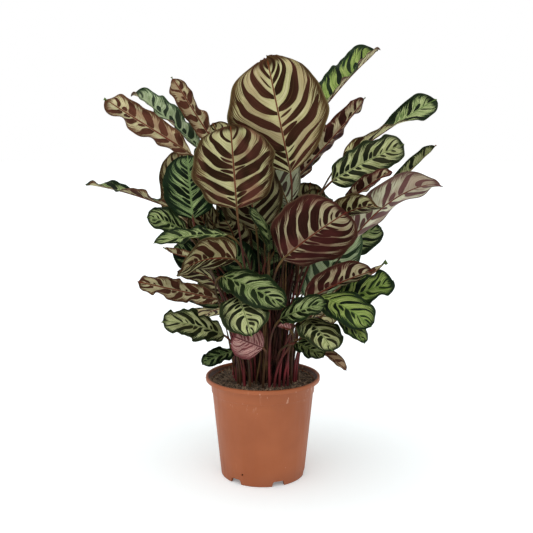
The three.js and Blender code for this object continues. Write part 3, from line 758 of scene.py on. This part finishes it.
def stalk_tube(name, stalk, base, grid, normal, along, material):
    """The stalk, the joint under the blade and the midrib as one tapering tube."""
    path = np.vstack([stalk, base])
    runs = np.concatenate([[0], np.cumsum(np.linalg.norm(np.diff(path, axis=0), axis=1))])
    places = np.linspace(0, runs[-1], STALK_LINKS)
    line = smooth_through(runs, path, places)
    share = places / runs[-1]
    from_blade = runs[-1] - places
    thick = STALK_THICK - STALK_TAPER * share
    thick = thick + SHEATH * np.clip((SHEATH_TOP - line[:, 2]) / SHEATH_FADE, 0, 1)
    thick += JOINT_SWELL * np.exp(-((from_blade - JOINT_BELOW) / JOINT_LENGTH) ** 2)
    middle = grid.shape[1] // 2
    rows = range(3, ROWS - 1)
    taper = np.array([RIB_THICK * (1 - along[r]) ** 0.8 + RIB_TIP for r in rows])
    sunk = np.array([min(1, along[r] * 12) for r in rows]) * (taper - 0.08)
    rib = np.array([grid[r, middle] - normal[r, middle] * sunk[i] for i, r in enumerate(rows)])
    stem = np.concatenate([share, 1 + along[list(rows)]])
    points = np.vstack([line, rib])
    girths = np.concatenate([thick, taper])
    mesh = bpy.data.meshes.new(name)
    mesh.from_pydata(list(points * MM), [(i, i + 1) for i in range(len(points) - 1)], [])
    for key, values in (("girth", girths * MM), ("stem", stem)):
        mesh.attributes.new(key, "FLOAT", "POINT").data.foreach_set("value", values)
    holder = bpy.data.objects.new(name, mesh)
    bpy.context.scene.collection.objects.link(holder)
    apply_tree(holder, stalk_tree, {"Sides": STALK_SIDES, "Material": material})
    made = holder.data
    co = np.array([v.co for v in made.vertices])
    faces = [tuple(p.vertices) for p in made.polygons]
    stems = np.zeros(len(made.vertices))
    made.attributes["stem"].data.foreach_get("value", stems)
    bpy.data.objects.remove(holder)
    bpy.data.meshes.remove(made)
    return co, faces, stems


# ---- the peacock marking ----
# Blotches in the shape of long lenses lie along the side veins, large and small in turn, and
# fine dark lines run in between them from the margin.
marking, marking_in, marking_out = stuff_group(
    "peacock marking",
    [("Place", "NodeSocketVector", None), ("Nature", "NodeSocketVector", None),
     ("Width", "NodeSocketFloat", 0.56), ("Streaks", "NodeSocketFloat", 0.5)],
    [(mark, "NodeSocketFloat") for mark in
     ("Blotch", "Margin", "Streaks", "Lines", "Rib", "Edge", "Clouds", "Blush")])
across, along, from_rib = put(marking, "ShaderNodeSeparateXYZ",
                              {0: marking_in.outputs["Place"]}).outputs
seed, slant, pairs = put(marking, "ShaderNodeSeparateXYZ",
                         {0: marking_in.outputs["Nature"]}).outputs
streaked = marking_in.outputs["Streaks"]
out_share = calc(marking, "ABSOLUTE", across)
which_side = calc(marking, "SIGN", across)
own_side = calc(marking, "ROUND", times_plus(marking, which_side, 3.0,
                                             times(marking, seed, 7.0)))


def marking_noise(x, y, z, detail, roughness=0.5):
    """Noise at a place that is put together from three values of the marking."""
    spot = put(marking, "ShaderNodeCombineXYZ", {0: x, 1: y, 2: z}).outputs[0]
    return put(marking, "ShaderNodeTexNoise", {
        "Vector": spot, "Scale": 1.0, "Detail": detail, "Roughness": roughness}).outputs[0]


def dice(number, salt):
    """A random value from 0 to 1 for each whole number of a blotch."""
    spot = put(marking, "ShaderNodeCombineXYZ", {0: number, 1: own_side, 2: salt}).outputs[0]
    return put(marking, "ShaderNodeTexWhiteNoise", {"Vector": spot},
               noise_dimensions="3D").outputs[0]


wobble = marking_noise(times(marking, along, 3.6), times(marking, out_share, 1.1),
                       own_side, 1.0)
bend = times_plus(marking, out_share, VEIN_BEND, VEIN_START)
climb = times(marking, slant, times_plus(marking, along, STEEP_TIP, STEEP_BASE))
vein = minus(marking, along, times(marking, times(marking, climb, out_share), bend))
turn = times_plus(marking, vein, pairs, times(marking, seed, LEAF_SHIFT))
turn = times_plus(marking, which_side, SIDE_SHIFT, turn)
turn = times_plus(marking, wobble, 0.8, turn)
beat = calc(marking, "FRACT", turn)
off_centre = times(marking, calc(marking, "ABSOLUTE", minus(marking, beat, 0.5)), 2.0)
large_dice = dice(calc(marking, "FLOOR", turn), 1.0)
small_dice = dice(calc(marking, "FLOOR", plus(marking, turn, 0.5)), 2.0)
feather = marking_noise(times(marking, turn, 5.0), times(marking, out_share, 3.0),
                        own_side, 3.0, 0.6)
hair = marking_noise(times(marking, turn, 13.0), times(marking, out_share, 1.1),
                     own_side, 3.0, 0.65)
fine_hair = marking_noise(times(marking, turn, 38.0), times(marking, out_share, 1.6),
                          own_side, 1.0)


def feathered(value, ragged):
    """The value, more or less by the noise that makes edges ragged."""
    return times_plus(marking, minus(marking, feather, 0.5), ragged, value)


def lens(centre, reach, thickness, distance, ragged):
    """One kind of blotch: 1 inside a lens of that reach and thickness, 0 outside."""
    off = calc(marking, "DIVIDE", minus(marking, out_share, centre), reach)
    bulge = calc(marking, "SUBTRACT", 1.0, times(marking, off, off), clamp=True)
    half = times(marking, calc(marking, "POWER", bulge, 0.6), thickness)
    edge = feathered(minus(marking, half, distance), ragged)
    inside = span(marking, edge, -0.03, 0.05)
    return times(marking, inside, span(marking, bulge, 0.0, 0.05))


large_width = times(marking, marking_in.outputs["Width"],
                    span(marking, large_dice, 0.0, 1.0, 0.72, 1.28))
large_width = times(marking, large_width, span(marking, along, 0.66, 0.94, 1.0, 0.5))
large = lens(0.43, 0.46, large_width, off_centre, 0.3)
small_width = span(marking, small_dice, 0.15, 0.85, -0.06, 0.42)
small_reach = span(marking, small_dice, 0.15, 0.85, 0.06, 0.19)
small = lens(0.15, small_reach, small_width, minus(marking, 1.0, off_centre), 0.12)
blotch = calc(marking, "MAXIMUM", large, small)
# The blotches leave a narrow seam of the ground beside the midrib.
seam = times_plus(marking, feather, 1.2, from_rib)
blotch = times(marking, blotch, span(marking, seam, 1.6, 2.1))
# The dark lines grow denser from the middle of the blade to its margin.
dense = span(marking, out_share, 0.3, 1.0, -0.16, 0.14)
dense = times_plus(marking, minus(marking, streaked, 0.5), 0.42, dense)
dark_lines = span(marking, plus(marking, hair, dense), 0.53, 0.6)
# They join in a dark border round the blade, with a thin pale line at its very edge.
ragged_out = feathered(out_share, 0.2)
border_start = times_plus(marking, streaked, -0.3, 0.96)
border = span(marking, minus(marking, ragged_out, border_start), 0.0, 0.11)
border = calc(marking, "MAXIMUM", border, span(marking, feathered(along, 0.08), 0.9, 0.96))
edge = span(marking, out_share, 0.955, 0.985)
clouds = marking_noise(times(marking, along, 2.5), times(marking, across, 1.5),
                       plus(marking, seed, 5.0), 3.0)
blush = marking_noise(times(marking, along, 1.8), times(marking, across, 1.2),
                      plus(marking, seed, 25.0), 2.0)
for name, value in (("Blotch", blotch), ("Margin", border), ("Streaks", dark_lines),
                    ("Lines", fine_hair), ("Rib", from_rib), ("Edge", edge),
                    ("Clouds", clouds), ("Blush", blush)):
    marking.links.new(value, marking_out.inputs[name])


def leaf_side(name, ground, light, blotch_colour, border_colour, rib_colour, blush_colour,
              width, streaks, rough_low, specular, rib_width):
    """One side of a blade, with its own colours laid through the shared marking."""
    material, tree, shader = finish_of(name, Specular_IOR_Level=specular)
    place, nature, tone = [
        put(tree, "ShaderNodeAttribute", attribute_name=key).outputs["Vector"]
        for key in ("leaf_place", "leaf_nature", "leaf_tone")]
    tone_and_painted_shade, flush, wider = put(tree, "ShaderNodeSeparateXYZ", {0: tone}).outputs
    marks = put(tree, "ShaderNodeGroup", {
        "Place": place, "Nature": nature, "Streaks": streaks,
        "Width": plus(tree, wider, width)}, node_tree=marking).outputs
    # The pale lines are the fine veins, partly painted sheen highlights along them.
    colour = blend_colours(tree, span(tree, marks["Lines"], 0.42, 0.6), ground, light)
    fine = times(tree, span(tree, marks["Lines"], 0.4, 0.3), 0.6)
    colour = blend_colours(tree, fine, colour, border_colour)
    redness = calc(tree, "MULTIPLY", span(tree, marks["Blush"], 0.42, 0.62), flush, clamp=True)
    colour = blend_colours(tree, redness, colour, blush_colour)
    colour = blend_colours(tree, marks["Streaks"], colour, border_colour)
    border = blend_colours(tree, span(tree, marks["Lines"], 0.4, 0.7), border_colour,
                           blotch_colour)
    colour = blend_colours(tree, marks["Margin"], colour, border)
    dark = blend_colours(tree, span(tree, marks["Lines"], 0.55, 0.8), blotch_colour,
                         border_colour)
    dark = blend_colours(tree, times(tree, redness, 0.4), dark, blush_colour)
    colour = blend_colours(tree, marks["Blotch"], colour, dark)
    colour = blend_colours(tree, times(tree, marks["Edge"], 0.14), colour, ground)
    rib = span(tree, marks["Rib"], rib_width, rib_width * 0.4)
    colour = blend_colours(tree, rib, colour, rib_colour)
    # Painted shade: the tone's first share darkens leaves deep in the clump, and the slow clouds
    # vary the lightness at random.
    dim = times(tree, tone_and_painted_shade, span(tree, marks["Clouds"], 0.3, 0.7, 1.0, 0.72))
    colour = put(tree, "ShaderNodeVectorMath", {0: colour, "Scale": dim}, operation="SCALE")
    tree.links.new(colour.outputs[0], shader.inputs["Base Color"])
    tree.links.new(span(tree, marks["Clouds"], 0.3, 0.7, rough_low, rough_low + 0.14),
                   shader.inputs["Roughness"])
    dented(tree, shader, marks["Lines"], 0.35, 0.0005)
    return material


def leaf_sides(side, looks, rib_width):
    """One side of the blades in all its looks."""
    return {look: leaf_side(f"{side} {look}", *[paint(*colour) for colour in row[:6]],
                            *row[6:], rib_width) for look, row in looks.items()}


# Each look's colours: the ground, its light lines (fine veins, partly painted sheen highlights
# along them), blotches, border, midrib and blush. Then the width of its blotches, how streaked it
# is, its least roughness and its gloss.
UNDERSIDES = leaf_sides("underside", {
    "maroon": ((200, 196, 134), (226, 218, 168), (50, 29, 14), (92, 68, 40), (128, 66, 34),
               (150, 84, 72), 0.6, 0.45, 0.5, 0.05),
    "burgundy": ((188, 174, 132), (212, 198, 160), (52, 25, 18), (86, 46, 36), (112, 44, 32),
                 (122, 56, 56), 0.64, 0.55, 0.5, 0.05),
    "russet": ((190, 180, 132), (212, 202, 160), (72, 40, 26), (104, 70, 48), (116, 60, 38),
               (140, 84, 66), 0.54, 0.55, 0.5, 0.06),
    "rose": ((198, 194, 158), (222, 216, 188), (98, 62, 60), (116, 84, 74), (120, 60, 58),
             (156, 108, 98), 0.54, 0.4, 0.46, 0.12),
    "silver": ((178, 186, 146), (206, 212, 182), (78, 60, 52), (100, 94, 70), (110, 100, 64),
               (150, 130, 110), 0.36, 0.3, 0.45, 0.1),
    "tan": ((172, 142, 108), (196, 168, 134), (92, 60, 46), (116, 84, 62), (110, 64, 48),
            (150, 98, 80), 0.4, 0.4, 0.5, 0.08),
}, 1.3)
UPPERS = leaf_sides("upper", {
    "fresh": ((92, 114, 58), (186, 196, 138), (16, 22, 9), (30, 44, 22), (96, 118, 62),
              (80, 106, 56), 0.44, 0.66, 0.38, 0.05),
    "lime": ((100, 128, 50), (176, 190, 112), (14, 24, 14), (28, 46, 22), (84, 116, 50),
             (90, 124, 50), 0.44, 0.6, 0.38, 0.06),
    "deep": ((56, 84, 42), (176, 196, 132), (12, 21, 8), (22, 40, 20), (120, 144, 86),
             (56, 88, 54), 0.54, 0.72, 0.36, 0.05),
    "yellow": ((150, 160, 98), (208, 212, 160), (24, 29, 14), (42, 52, 28), (104, 118, 68),
               (120, 110, 70), 0.5, 0.6, 0.4, 0.05),
    "pale": ((152, 172, 122), (200, 214, 172), (36, 52, 32), (62, 84, 54), (108, 132, 86),
             (136, 136, 110), 0.4, 0.5, 0.38, 0.1),
}, 0.8)
UPPERS["tan"] = UNDERSIDES["tan"]
# On the young leaves the pale lines are partly painted satin sheen.
YOUNG = leaf_sides("young", {
    "rose": ((146, 80, 78), (220, 178, 166), (112, 52, 54), (124, 60, 62), (96, 36, 40),
             (166, 102, 96), 0.36, 0.45, 0.4, 0.2),
}, 1.3)["rose"]

stalk_skin, tree, shader = finish_of("stalk skin", Specular_IOR_Level=0.15)
stem = put(tree, "ShaderNodeAttribute", attribute_name="leaf_place").outputs["Vector"]
own = put(tree, "ShaderNodeAttribute", attribute_name="leaf_nature").outputs["Vector"]
own = put(tree, "ShaderNodeSeparateXYZ", {0: own}).outputs
stem = put(tree, "ShaderNodeSeparateXYZ", {0: stem}).outputs[1]
grain = grained(tree, 35.0, 1100.0)
kind = put(tree, "ShaderNodeTexWhiteNoise", {"W": own[0]}, noise_dimensions="1D").outputs[0]
red_low = mottled(tree, grain, paint(136, 52, 58), paint(98, 42, 42))
brown_low = mottled(tree, grain, paint(84, 60, 38), paint(58, 40, 28))
low = blend_colours(tree, span(tree, kind, 0.45, 0.55), red_low, brown_low)
high = mottled(tree, grain, paint(64, 58, 34), paint(80, 42, 36))
skin = blend_colours(tree, span(tree, stem, 0.35, 0.85), low, high)
# The joint is at a stem share of nearly 1, and the midrib lies beyond it, from 1 to 2.
joint = blend_colours(tree, span(tree, kind, 0.3, 0.7), paint(104, 82, 46), paint(94, 46, 36))
skin = blend_colours(tree, span(tree, stem, 0.86, 0.98), skin, joint)
skin = blend_colours(tree, span(tree, stem, 1.04, 1.3), skin, paint(112, 50, 34))
tree.links.new(skin, shader.inputs["Base Color"])
dulled(tree, shader, grain, 0.38, 0.55)
dented(tree, shader, grain["Grain"], 0.2, 0.0004)

# Which leaves don't have the common maroon underside or the common fresh upper side.
UNDER_LOOK = {
    "burgundy": ["front_right_big", "crown_right", "right_red", "right_brown",
                 "dark_low_right"],
    "russet": ["left_high", "left_high_second", "left_high_third", "left_wavy",
               "right_spear", "top_right", "left_curled", "left_needle"],
    "rose": ["right_pink"],
    "silver": ["pale_inner", "pale_right", "crown_behind"],
    "tan": ["tan_low_right"],
}
UPPER_LOOK = {
    "lime": ["bright_a", "bright_b", "right_tongue", "top_right"],
    "deep": ["left_green_face", "inner_left", "inner_middle", "inner_far_left", "inner_right",
             "back_top", "left_lowest"],
    "yellow": ["left_low_green", "right_green", "front_low_left", "front_low_right",
               "right_slim"],
    "pale": ["left_high_second", "pale_inner", "pale_right"],
    "tan": ["tan_low_right"],
}
# How light a leaf is that isn't the common 1.0, partly its own tone and partly painted shade
# that darkens leaves deep in the clump; how much red flushes one that doesn't have the common
# 0.25, and how much wider than common its blotches are.
TONE_AND_PAINTED_SHADE = {
    "crown_left": 0.78, "crown_behind": 0.95, "crown_inner": 0.7, "front_right_big": 0.86,
    "left_high": 1.1, "left_high_third": 1.05, "left_brown": 0.8,
    "left_dark": 0.75, "left_lowest": 0.8, "left_wavy": 0.92, "left_low_green": 0.92,
    "left_curled": 1.15, "inner_left": 0.75, "inner_middle": 0.6, "inner_far_left": 0.7,
    "inner_right": 0.65, "dark_mid": 0.5, "dark_low_right": 0.85, "pale_inner": 1.2,
    "pale_right": 1.2, "right_brown": 0.8, "top_right": 1.2, "high_right_far": 1.15,
}
FLUSH = {
    "crown_main": 0.35, "crown_left": 0.8, "crown_right": 0.8, "front_right_big": 0.7,
    "left_high": 0.6, "left_high_third": 0.5, "left_curled": 1.0, "left_brown": 0.35,
    "right_brown": 0.9, "right_pink": 0.5, "right_red": 0.8, "right_spear": 0.6,
}
WIDER = {"crown_left": 0.12, "front_right_big": 0.06, "top_right": -0.06,
         "high_right_far": -0.08}
# Leaves whose side veins stand closer than common: pairs of them, and their slant's share.
VEINS = {
    "crown_main": (6.6, 0.92), "crown_left": (6.5, 0.62), "front_right_big": (6.4, 0.85),
    "left_green_face": (6.8, 0.95), "right_green": (6.4, 1.0), "dark_mid": (6.4, 1.0),
}
# For waved or blunt leaves: height of the margin's waves (mm), how many there are, how much
# the tip is filled out, how far it curls up (mm), and how far the blade reaches forward beside
# it (mm).
PLAIN_SHAPE = (0.9, 3.6, 0.0, 0.0, 0.0)
LEAF_SHAPE = {
    "left_high": (2.6, 3.2, 0.55, 3.0, 0), "left_high_second": (3.0, 4.0, 0.6, -3.0, 0),
    "left_high_third": (2.2, 3.4, 0.5, 2.0, 0), "left_wavy": (2.8, 5.2, 0.2, 0.0, 0),
    "left_needle": (2.4, 5.0, 0.3, 0.0, 0), "left_low_green": (2.0, 5.4, 0.15, -2.0, 0),
    "top_right": (2.6, 4.2, 0.5, 2.0, 0), "high_right_far": (2.6, 4.0, 0.5, -2.0, 0),
    "crown_right": (2.8, 4.0, 0.2, 2.0, 0), "right_slim": (1.6, 3.0, 0.3, 2.0, 0),
    "left_curled": (1.6, 4.0, 0.0, 3.0, 0), "left_narrow": (1.4, 4.0, 0.0, 0.0, 0),
    "right_spear": (1.4, 3.0, -0.3, 6.0, 0), "right_green": (2.0, 4.4, 0.3, 0.0, 0),
    "crown_main": (1.8, 2.2, 0.14, -3.0, 6), "crown_left": (1.5, 2.8, 0.12, -2.0, 3),
    "right_tongue": (2.2, 3.6, 0.45, 3.0, 0), "right_pink": (1.4, 2.6, -0.25, -4.0, 0),
    "front_low_left": (1.2, 3.2, -0.3, -2.0, 0), "right_small": (0.9, 2.6, 0.3, 0.0, 0),
}


def look_of(name, table, common):
    """The look under which the table lists the leaf, or the common one."""
    return next((look for look, names in table.items() if name in names), common)


def grow_leaf(piece_name, number, stalk, sheet, tip, shape, looks, tone, veins=None):
    """A whole leaf as one piece: its blade's two sides, then stalk and midrib.

    The tone is its lightness (partly painted shade), its flush and how much wider its blotches are."""
    size = np.linalg.norm(tip - sheet[0, 2])
    slant = np.linalg.norm(sheet[4, 4] - sheet[4, 0]) / 2 / size * SLANT
    pairs = float(np.clip(BASE_PAIRS + size / MM_FOR_A_PAIR, *LEAST_AND_MOST_PAIRS))
    if veins:
        pairs, slant = veins[0], slant * veins[1]
    base, grid, normal, along, across, reach = blade_sheet(
        stalk, sheet, tip, shape, number, slant, pairs)
    points, faces, sides = blade_shell(grid, normal, across)
    tube, tube_faces, stems = stalk_tube(f"stalk_of_{piece_name}", stalk, base, grid, normal,
                                         along, stalk_skin)
    start = len(points)
    all_points = np.vstack([points * MM, tube])
    all_faces = faces + [tuple(start + i for i in f) for f in tube_faces]
    piece = new_piece(piece_name, all_points, all_faces, looks + [stalk_skin])
    mesh = piece.data
    mesh.polygons.foreach_set("material_index", sides + [len(looks)] * len(tube_faces))
    lie = np.zeros((len(all_points), 3))
    cells = np.stack([np.broadcast_to(across[None, :], reach.shape),
                      np.broadcast_to(along[:, None], reach.shape), reach], axis=2)
    lie[:start] = np.vstack([cells.reshape(-1, 3)] * 2)
    lie[start:, 1] = stems
    nature = np.tile([number, slant, pairs], (len(all_points), 1))
    tones = np.tile(tone, (len(all_points), 1))
    for key, values in (("leaf_place", lie), ("leaf_nature", nature), ("leaf_tone", tones)):
        mesh.attributes.new(key, "FLOAT_VECTOR", "POINT").data.foreach_set(
            "vector", values.ravel())
    tidy = bmesh.new()
    tidy.from_mesh(mesh)
    bmesh.ops.remove_doubles(tidy, verts=tidy.verts, dist=1e-6)
    tidy.to_mesh(mesh)
    tidy.free()
    mesh.set_sharp_from_angle(angle=math.radians(SHARP_LEAF_EDGE))
    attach(piece, "root")
    return piece


leaf_nodes = sorted(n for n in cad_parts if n.startswith("leaf_"))
grown = []
for number, node in enumerate(leaf_nodes):
    name = node[len("leaf_"):]
    if name.startswith("pink"):
        looks = [YOUNG, YOUNG]
    else:
        looks = [UPPERS[look_of(name, UPPER_LOOK, "fresh")],
                 UNDERSIDES[look_of(name, UNDER_LOOK, "maroon")]]
    piece = grow_leaf(f"grown_{name}", number, *rings_of(node), LEAF_SHAPE.get(name, PLAIN_SHAPE),
                      looks, [TONE_AND_PAINTED_SHADE.get(name, 1.0), FLUSH.get(name, 0.25), WIDER.get(name, 0.0)],
                      VEINS.get(name))
    grown.append(piece)
    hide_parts(node)

# ---- leaves inside the clump ----
# Smaller leaves that never reached the light fill the clump between the tall ones. Each is
# tried at one place after another until it touches no leaf that is there already, and is left
# out when the tries run out.
INNER_LEAVES = 64
INNER_TRIES = 60
# Places along such a blade, and how wide it is there, both as shares.
INNER_OUTLINE = [(0.03, 0.15), (0.1, 0.55), (0.22, 0.8), (0.38, 0.96),
                 (0.54, 1.0), (0.7, 0.95), (0.84, 0.78), (0.94, 0.47)]
# The least of each measure in mm or degrees, and how much more it may be.
INNER_FOOT = (8, 38)
INNER_LENGTH = (70, 42)
INNER_BASE = (20, 26)
INNER_HEIGHT = (240, 110)
INNER_LEAN = (8, 55)
INNER_ARCH = (6, 10)
# The same for three shares: half the width, of the length; the cup, of that half; the lightness,
# which is painted shade.
INNER_HALF_WIDTH = (0.24, 0.07)
INNER_CUP = (0.12, 0.16)
INNER_PAINTED_SHADE = (0.62, 0.25)
INNER_BEHIND = 34  # those at the back reach up to this much further out
INNER_SHAPE = (0.8, 3.4, 0.0, -1.0, 0.0)
# In front, right of the middle, the clump stays open: no tip comes this near to this place.
OPEN_AT = (48, 300)
OPEN_WITHIN = (36, 60)
OPEN_BEFORE = 20
GOLDEN_ANGLE = 2.39996
chance = np.random.default_rng(31)


def some(least, more):
    """A random measure, not less than the least."""
    return least + more * chance.random()


def surface_of(piece):
    """The piece's faces in a form that tells what touches them."""
    return BVHTree.FromPolygons([v.co for v in piece.data.vertices],
                                [tuple(p.vertices) for p in piece.data.polygons])


def inner_leaf(angle):
    """One leaf inside the clump: its stalk's rings, its blade's rings and its tip, mm."""
    out = np.array([math.cos(angle), math.sin(angle), 0])
    side = np.array([-out[1], out[0], 0])
    foot = out * some(*INNER_FOOT) + side * 8 * chance.normal()
    foot[2] = SOIL_EDGE - 4
    rise = chance.random()
    length = some(*INNER_LENGTH)
    behind = max(out[1], 0) * INNER_BEHIND
    base = out * (some(*INNER_BASE) + behind) + side * 14 * chance.normal()
    base[2] = INNER_HEIGHT[0] + INNER_HEIGHT[1] * rise
    lean = math.radians(INNER_LEAN[0] + INNER_LEAN[1] * rise + 12 * chance.normal())
    swing = math.radians(26 * chance.normal())
    heading = (out * math.cos(swing) + side * math.sin(swing)) * math.cos(lean)
    heading[2] = math.sin(lean)
    tip = base + heading * length
    facing = unit(out * 0.7 + np.array([0, 0, 0.9]) + 0.25 * chance.normal(size=3))
    facing = unit(facing - heading * facing.dot(heading))
    right = np.cross(heading, facing)
    half = length * some(*INNER_HALF_WIDTH)
    arch = some(*INNER_ARCH)
    cup = some(*INNER_CUP)
    sheet = []
    for share, wide in INNER_OUTLINE:
        middle = base + heading * length * share + facing * arch * math.sin(math.pi * share)
        sheet.append([middle + right * half * wide * v - facing * half * wide * cup * v * v
                      for v in (-1, -0.5, 0, 0.5, 1)])
    sheet = np.array(sheet)
    start = unit(sheet[1, 2] - base)
    end = base - start * STALK_END
    bend = end - start * 0.3 * np.linalg.norm(end - foot)
    knee = foot + np.array([0, 0, 0.45 * np.linalg.norm(end - foot)])
    # The stalk is one curve from its foot over the knee and the bend to its end.
    stalk = np.array([foot * (1 - t) ** 3 + knee * 3 * t * (1 - t) ** 2
                      + bend * 3 * t * t * (1 - t) + end * t ** 3
                      for t in np.linspace(0, 1, STALK_RINGS)])
    return stalk, sheet, tip


def free_of(blade, taken):
    """Whether a blade touches none of the trees taken."""
    points = blade.reshape(-1, 3) * MM
    faces = [(r * 5 + c, r * 5 + c + 1, r * 5 + c + 6, r * 5 + c + 5)
             for r in range(7) for c in range(4)]
    tree = BVHTree.FromPolygons([Vector(p) for p in points], faces)
    return not any(tree.overlap(other) for other in taken)


taken = [surface_of(leaf) for leaf in grown]
for k in range(INNER_LEAVES):
    for _ in range(INNER_TRIES):
        stalk, sheet, tip = inner_leaf(GOLDEN_ANGLE * k + 0.5 * chance.normal())
        in_the_way = (abs(tip[0] - OPEN_AT[0]) < OPEN_WITHIN[0] and tip[1] < OPEN_BEFORE
                      and abs(tip[2] - OPEN_AT[1]) < OPEN_WITHIN[1])
        if not in_the_way and free_of(sheet, taken):
            break
    else:
        continue
    # Their lightness is painted shade, as they stand out of the light.
    upper = UPPERS["deep" if chance.random() < 0.5 else "fresh"]
    piece = grow_leaf(f"inner_leaf_{k}", 100 + k, stalk, sheet, tip, INNER_SHAPE,
                      [upper, UNDERSIDES["maroon"]], [some(*INNER_PAINTED_SHADE), 0.2, 0.0])
    taken.append(surface_of(piece))

# ---- withered stalks ----
# Thin dry stalks and sheaths of older leaves stand close between the living ones and fill the
# clump, most of them dark, a few bleached like straw. Their near-black brown is partly painted
# shade deep in the clump.
WITHERED = 150
WITHERED_POINTS = 12
WITHERED_REACH = 42  # all of them rise within this circle
WITHERED_BOW = 5
# The least of each measure, and how much more it may be: how many times further out a stalk ends
# than it starts, how high it ends, and its radius at the foot.
WITHERED_SPREAD = (1.15, 0.5)
WITHERED_TOP = (230, 150)
WITHERED_RADIUS = (0.9, 1.2)
withered_skin, tree, shader = finish_of("withered stalk", Specular_IOR_Level=0.06)
grain = grained(tree, 60.0, 1300.0)
kind = put(tree, "ShaderNodeAttribute", attribute_name="stem").outputs["Fac"]
# The dark brown is partly painted shade inside the clump.
dry = mottled(tree, grain, paint(38, 24, 19), paint(64, 36, 30))
straw = mottled(tree, grain, paint(112, 86, 56), paint(74, 52, 36))
dry = blend_colours(tree, span(tree, kind, 0.78, 0.86), dry, straw)
tree.links.new(dry, shader.inputs["Base Color"])
dulled(tree, shader, grain, 0.6, 0.85)
chance = np.random.default_rng(77)
points, edges, girths, kinds = [], [], [], []
for k in range(WITHERED):
    angle = 2 * math.pi * chance.random()
    reach = WITHERED_REACH * math.sqrt(chance.random())
    foot = np.array([reach * math.cos(angle), reach * math.sin(angle), SOIL_EDGE - 4])
    top = foot * some(*WITHERED_SPREAD) + 8 * chance.normal(size=3)
    top[2] = some(*WITHERED_TOP)
    bow = WITHERED_BOW * chance.normal(size=3)
    own_kind = chance.random()
    thick = some(*WITHERED_RADIUS)
    for i in range(WITHERED_POINTS):
        t = i / (WITHERED_POINTS - 1)
        if i:
            edges.append((len(points) - 1, len(points)))
        points.append((foot + (top - foot) * t + bow * math.sin(math.pi * t)) * MM)
        girths.append(thick * (1 - 0.6 * t) * MM)
        kinds.append(own_kind)
mesh = bpy.data.meshes.new("withered_stalks")
mesh.from_pydata(points, edges, [])
for key, values in (("girth", girths), ("stem", kinds)):
    mesh.attributes.new(key, "FLOAT", "POINT").data.foreach_set("value", values)
withered = bpy.data.objects.new("withered_stalks", mesh)
bpy.context.scene.collection.objects.link(withered)
apply_tree(withered, stalk_tree, {"Sides": 7, "Material": withered_skin})
withered.data.shade_smooth()
withered.data.set_sharp_from_angle(angle=math.radians(60))
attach(withered, "root")

# ==== Studio ====
# A plain pale floor under soft light from above and the left, and the camera.
FLOOR_GLOW = 0.2
floor_paint, tree, shader = finish_of("studio floor", Roughness=0.9, Specular_IOR_Level=0.05)
mottle = put(tree, "ShaderNodeTexNoise", {
    "Vector": put(tree, "ShaderNodeTexCoord").outputs["Object"], "Scale": 3.0})
tree.links.new(blend_colours(tree, mottle.outputs[0], paint(241, 247, 248), paint(244, 250, 251)),
               shader.inputs["Base Color"])
# The floor glows a little to the camera, so that only a soft shadow shows on it.
shader.inputs["Emission Color"].default_value = (1, 1, 1, 1)
seen = put(tree, "ShaderNodeLightPath").outputs["Is Camera Ray"]
tree.links.new(calc(tree, "MULTIPLY", seen, FLOOR_GLOW), shader.inputs["Emission Strength"])
FLOOR = 60  # half its width, in metres
floor = new_piece("studio_floor", [(x * FLOOR, y * FLOOR, -0.0002)
                                   for x, y in ((-1, -1), (1, -1), (1, 1), (-1, 1))],
                  [(0, 1, 2, 3)], [floor_paint])

# The air is white to the camera, and lights the plant less brightly than that.
AIR_LIGHT = 0.6
air = bpy.data.worlds.new("studio air")
air.use_nodes = True
background = air.node_tree.nodes["Background"]
seen = put(air.node_tree, "ShaderNodeLightPath").outputs["Is Camera Ray"]
air.node_tree.links.new(span(air.node_tree, seen, 0.0, 1.0, AIR_LIGHT, 1.0),
                        background.inputs["Strength"])
background.inputs["Color"].default_value = (1, 1, 1, 1)
bpy.context.scene.world = air

# One wide skylight, high on the left and in front.
SKYLIGHT_STRENGTH = 1.7
SKYLIGHT_WIDTH = math.radians(95)
SKYLIGHT_WAY = (0.14, 0.32, -1)
skylight_data = bpy.data.lights.new("skylight", "SUN")
skylight_data.energy = SKYLIGHT_STRENGTH
skylight_data.angle = SKYLIGHT_WIDTH
skylight = bpy.data.objects.new("skylight", skylight_data)
skylight.rotation_euler = Vector(SKYLIGHT_WAY).to_track_quat("-Z", "Y").to_euler()
bpy.context.scene.collection.objects.link(skylight)

# The camera stands where the photo was taken from: in front, at three quarters of the plant's
# height, looking a little down.
CAMERA_PLACE = (0, -1.132, 0.472)
CAMERA_PITCH = math.radians(8.02)
CAMERA_SHIFT = 0.0068  # as a share of the picture's width
FOCAL_PIXELS = 781  # the focal length that fits the photo, in the photo's pixels
PICTURE_WIDTH = 533
SENSOR_WIDTH = 36
camera_data = bpy.data.cameras.new("camera")
camera_data.sensor_width = SENSOR_WIDTH
camera_data.lens = SENSOR_WIDTH * FOCAL_PIXELS / PICTURE_WIDTH
camera_data.shift_x = CAMERA_SHIFT
camera = bpy.data.objects.new("camera", camera_data)
camera.location = CAMERA_PLACE
camera.rotation_euler = (math.pi / 2 - CAMERA_PITCH, 0, 0)
bpy.context.scene.collection.objects.link(camera)
bpy.context.scene.camera = camera
bpy.context.scene.view_settings.view_transform = "Standard"
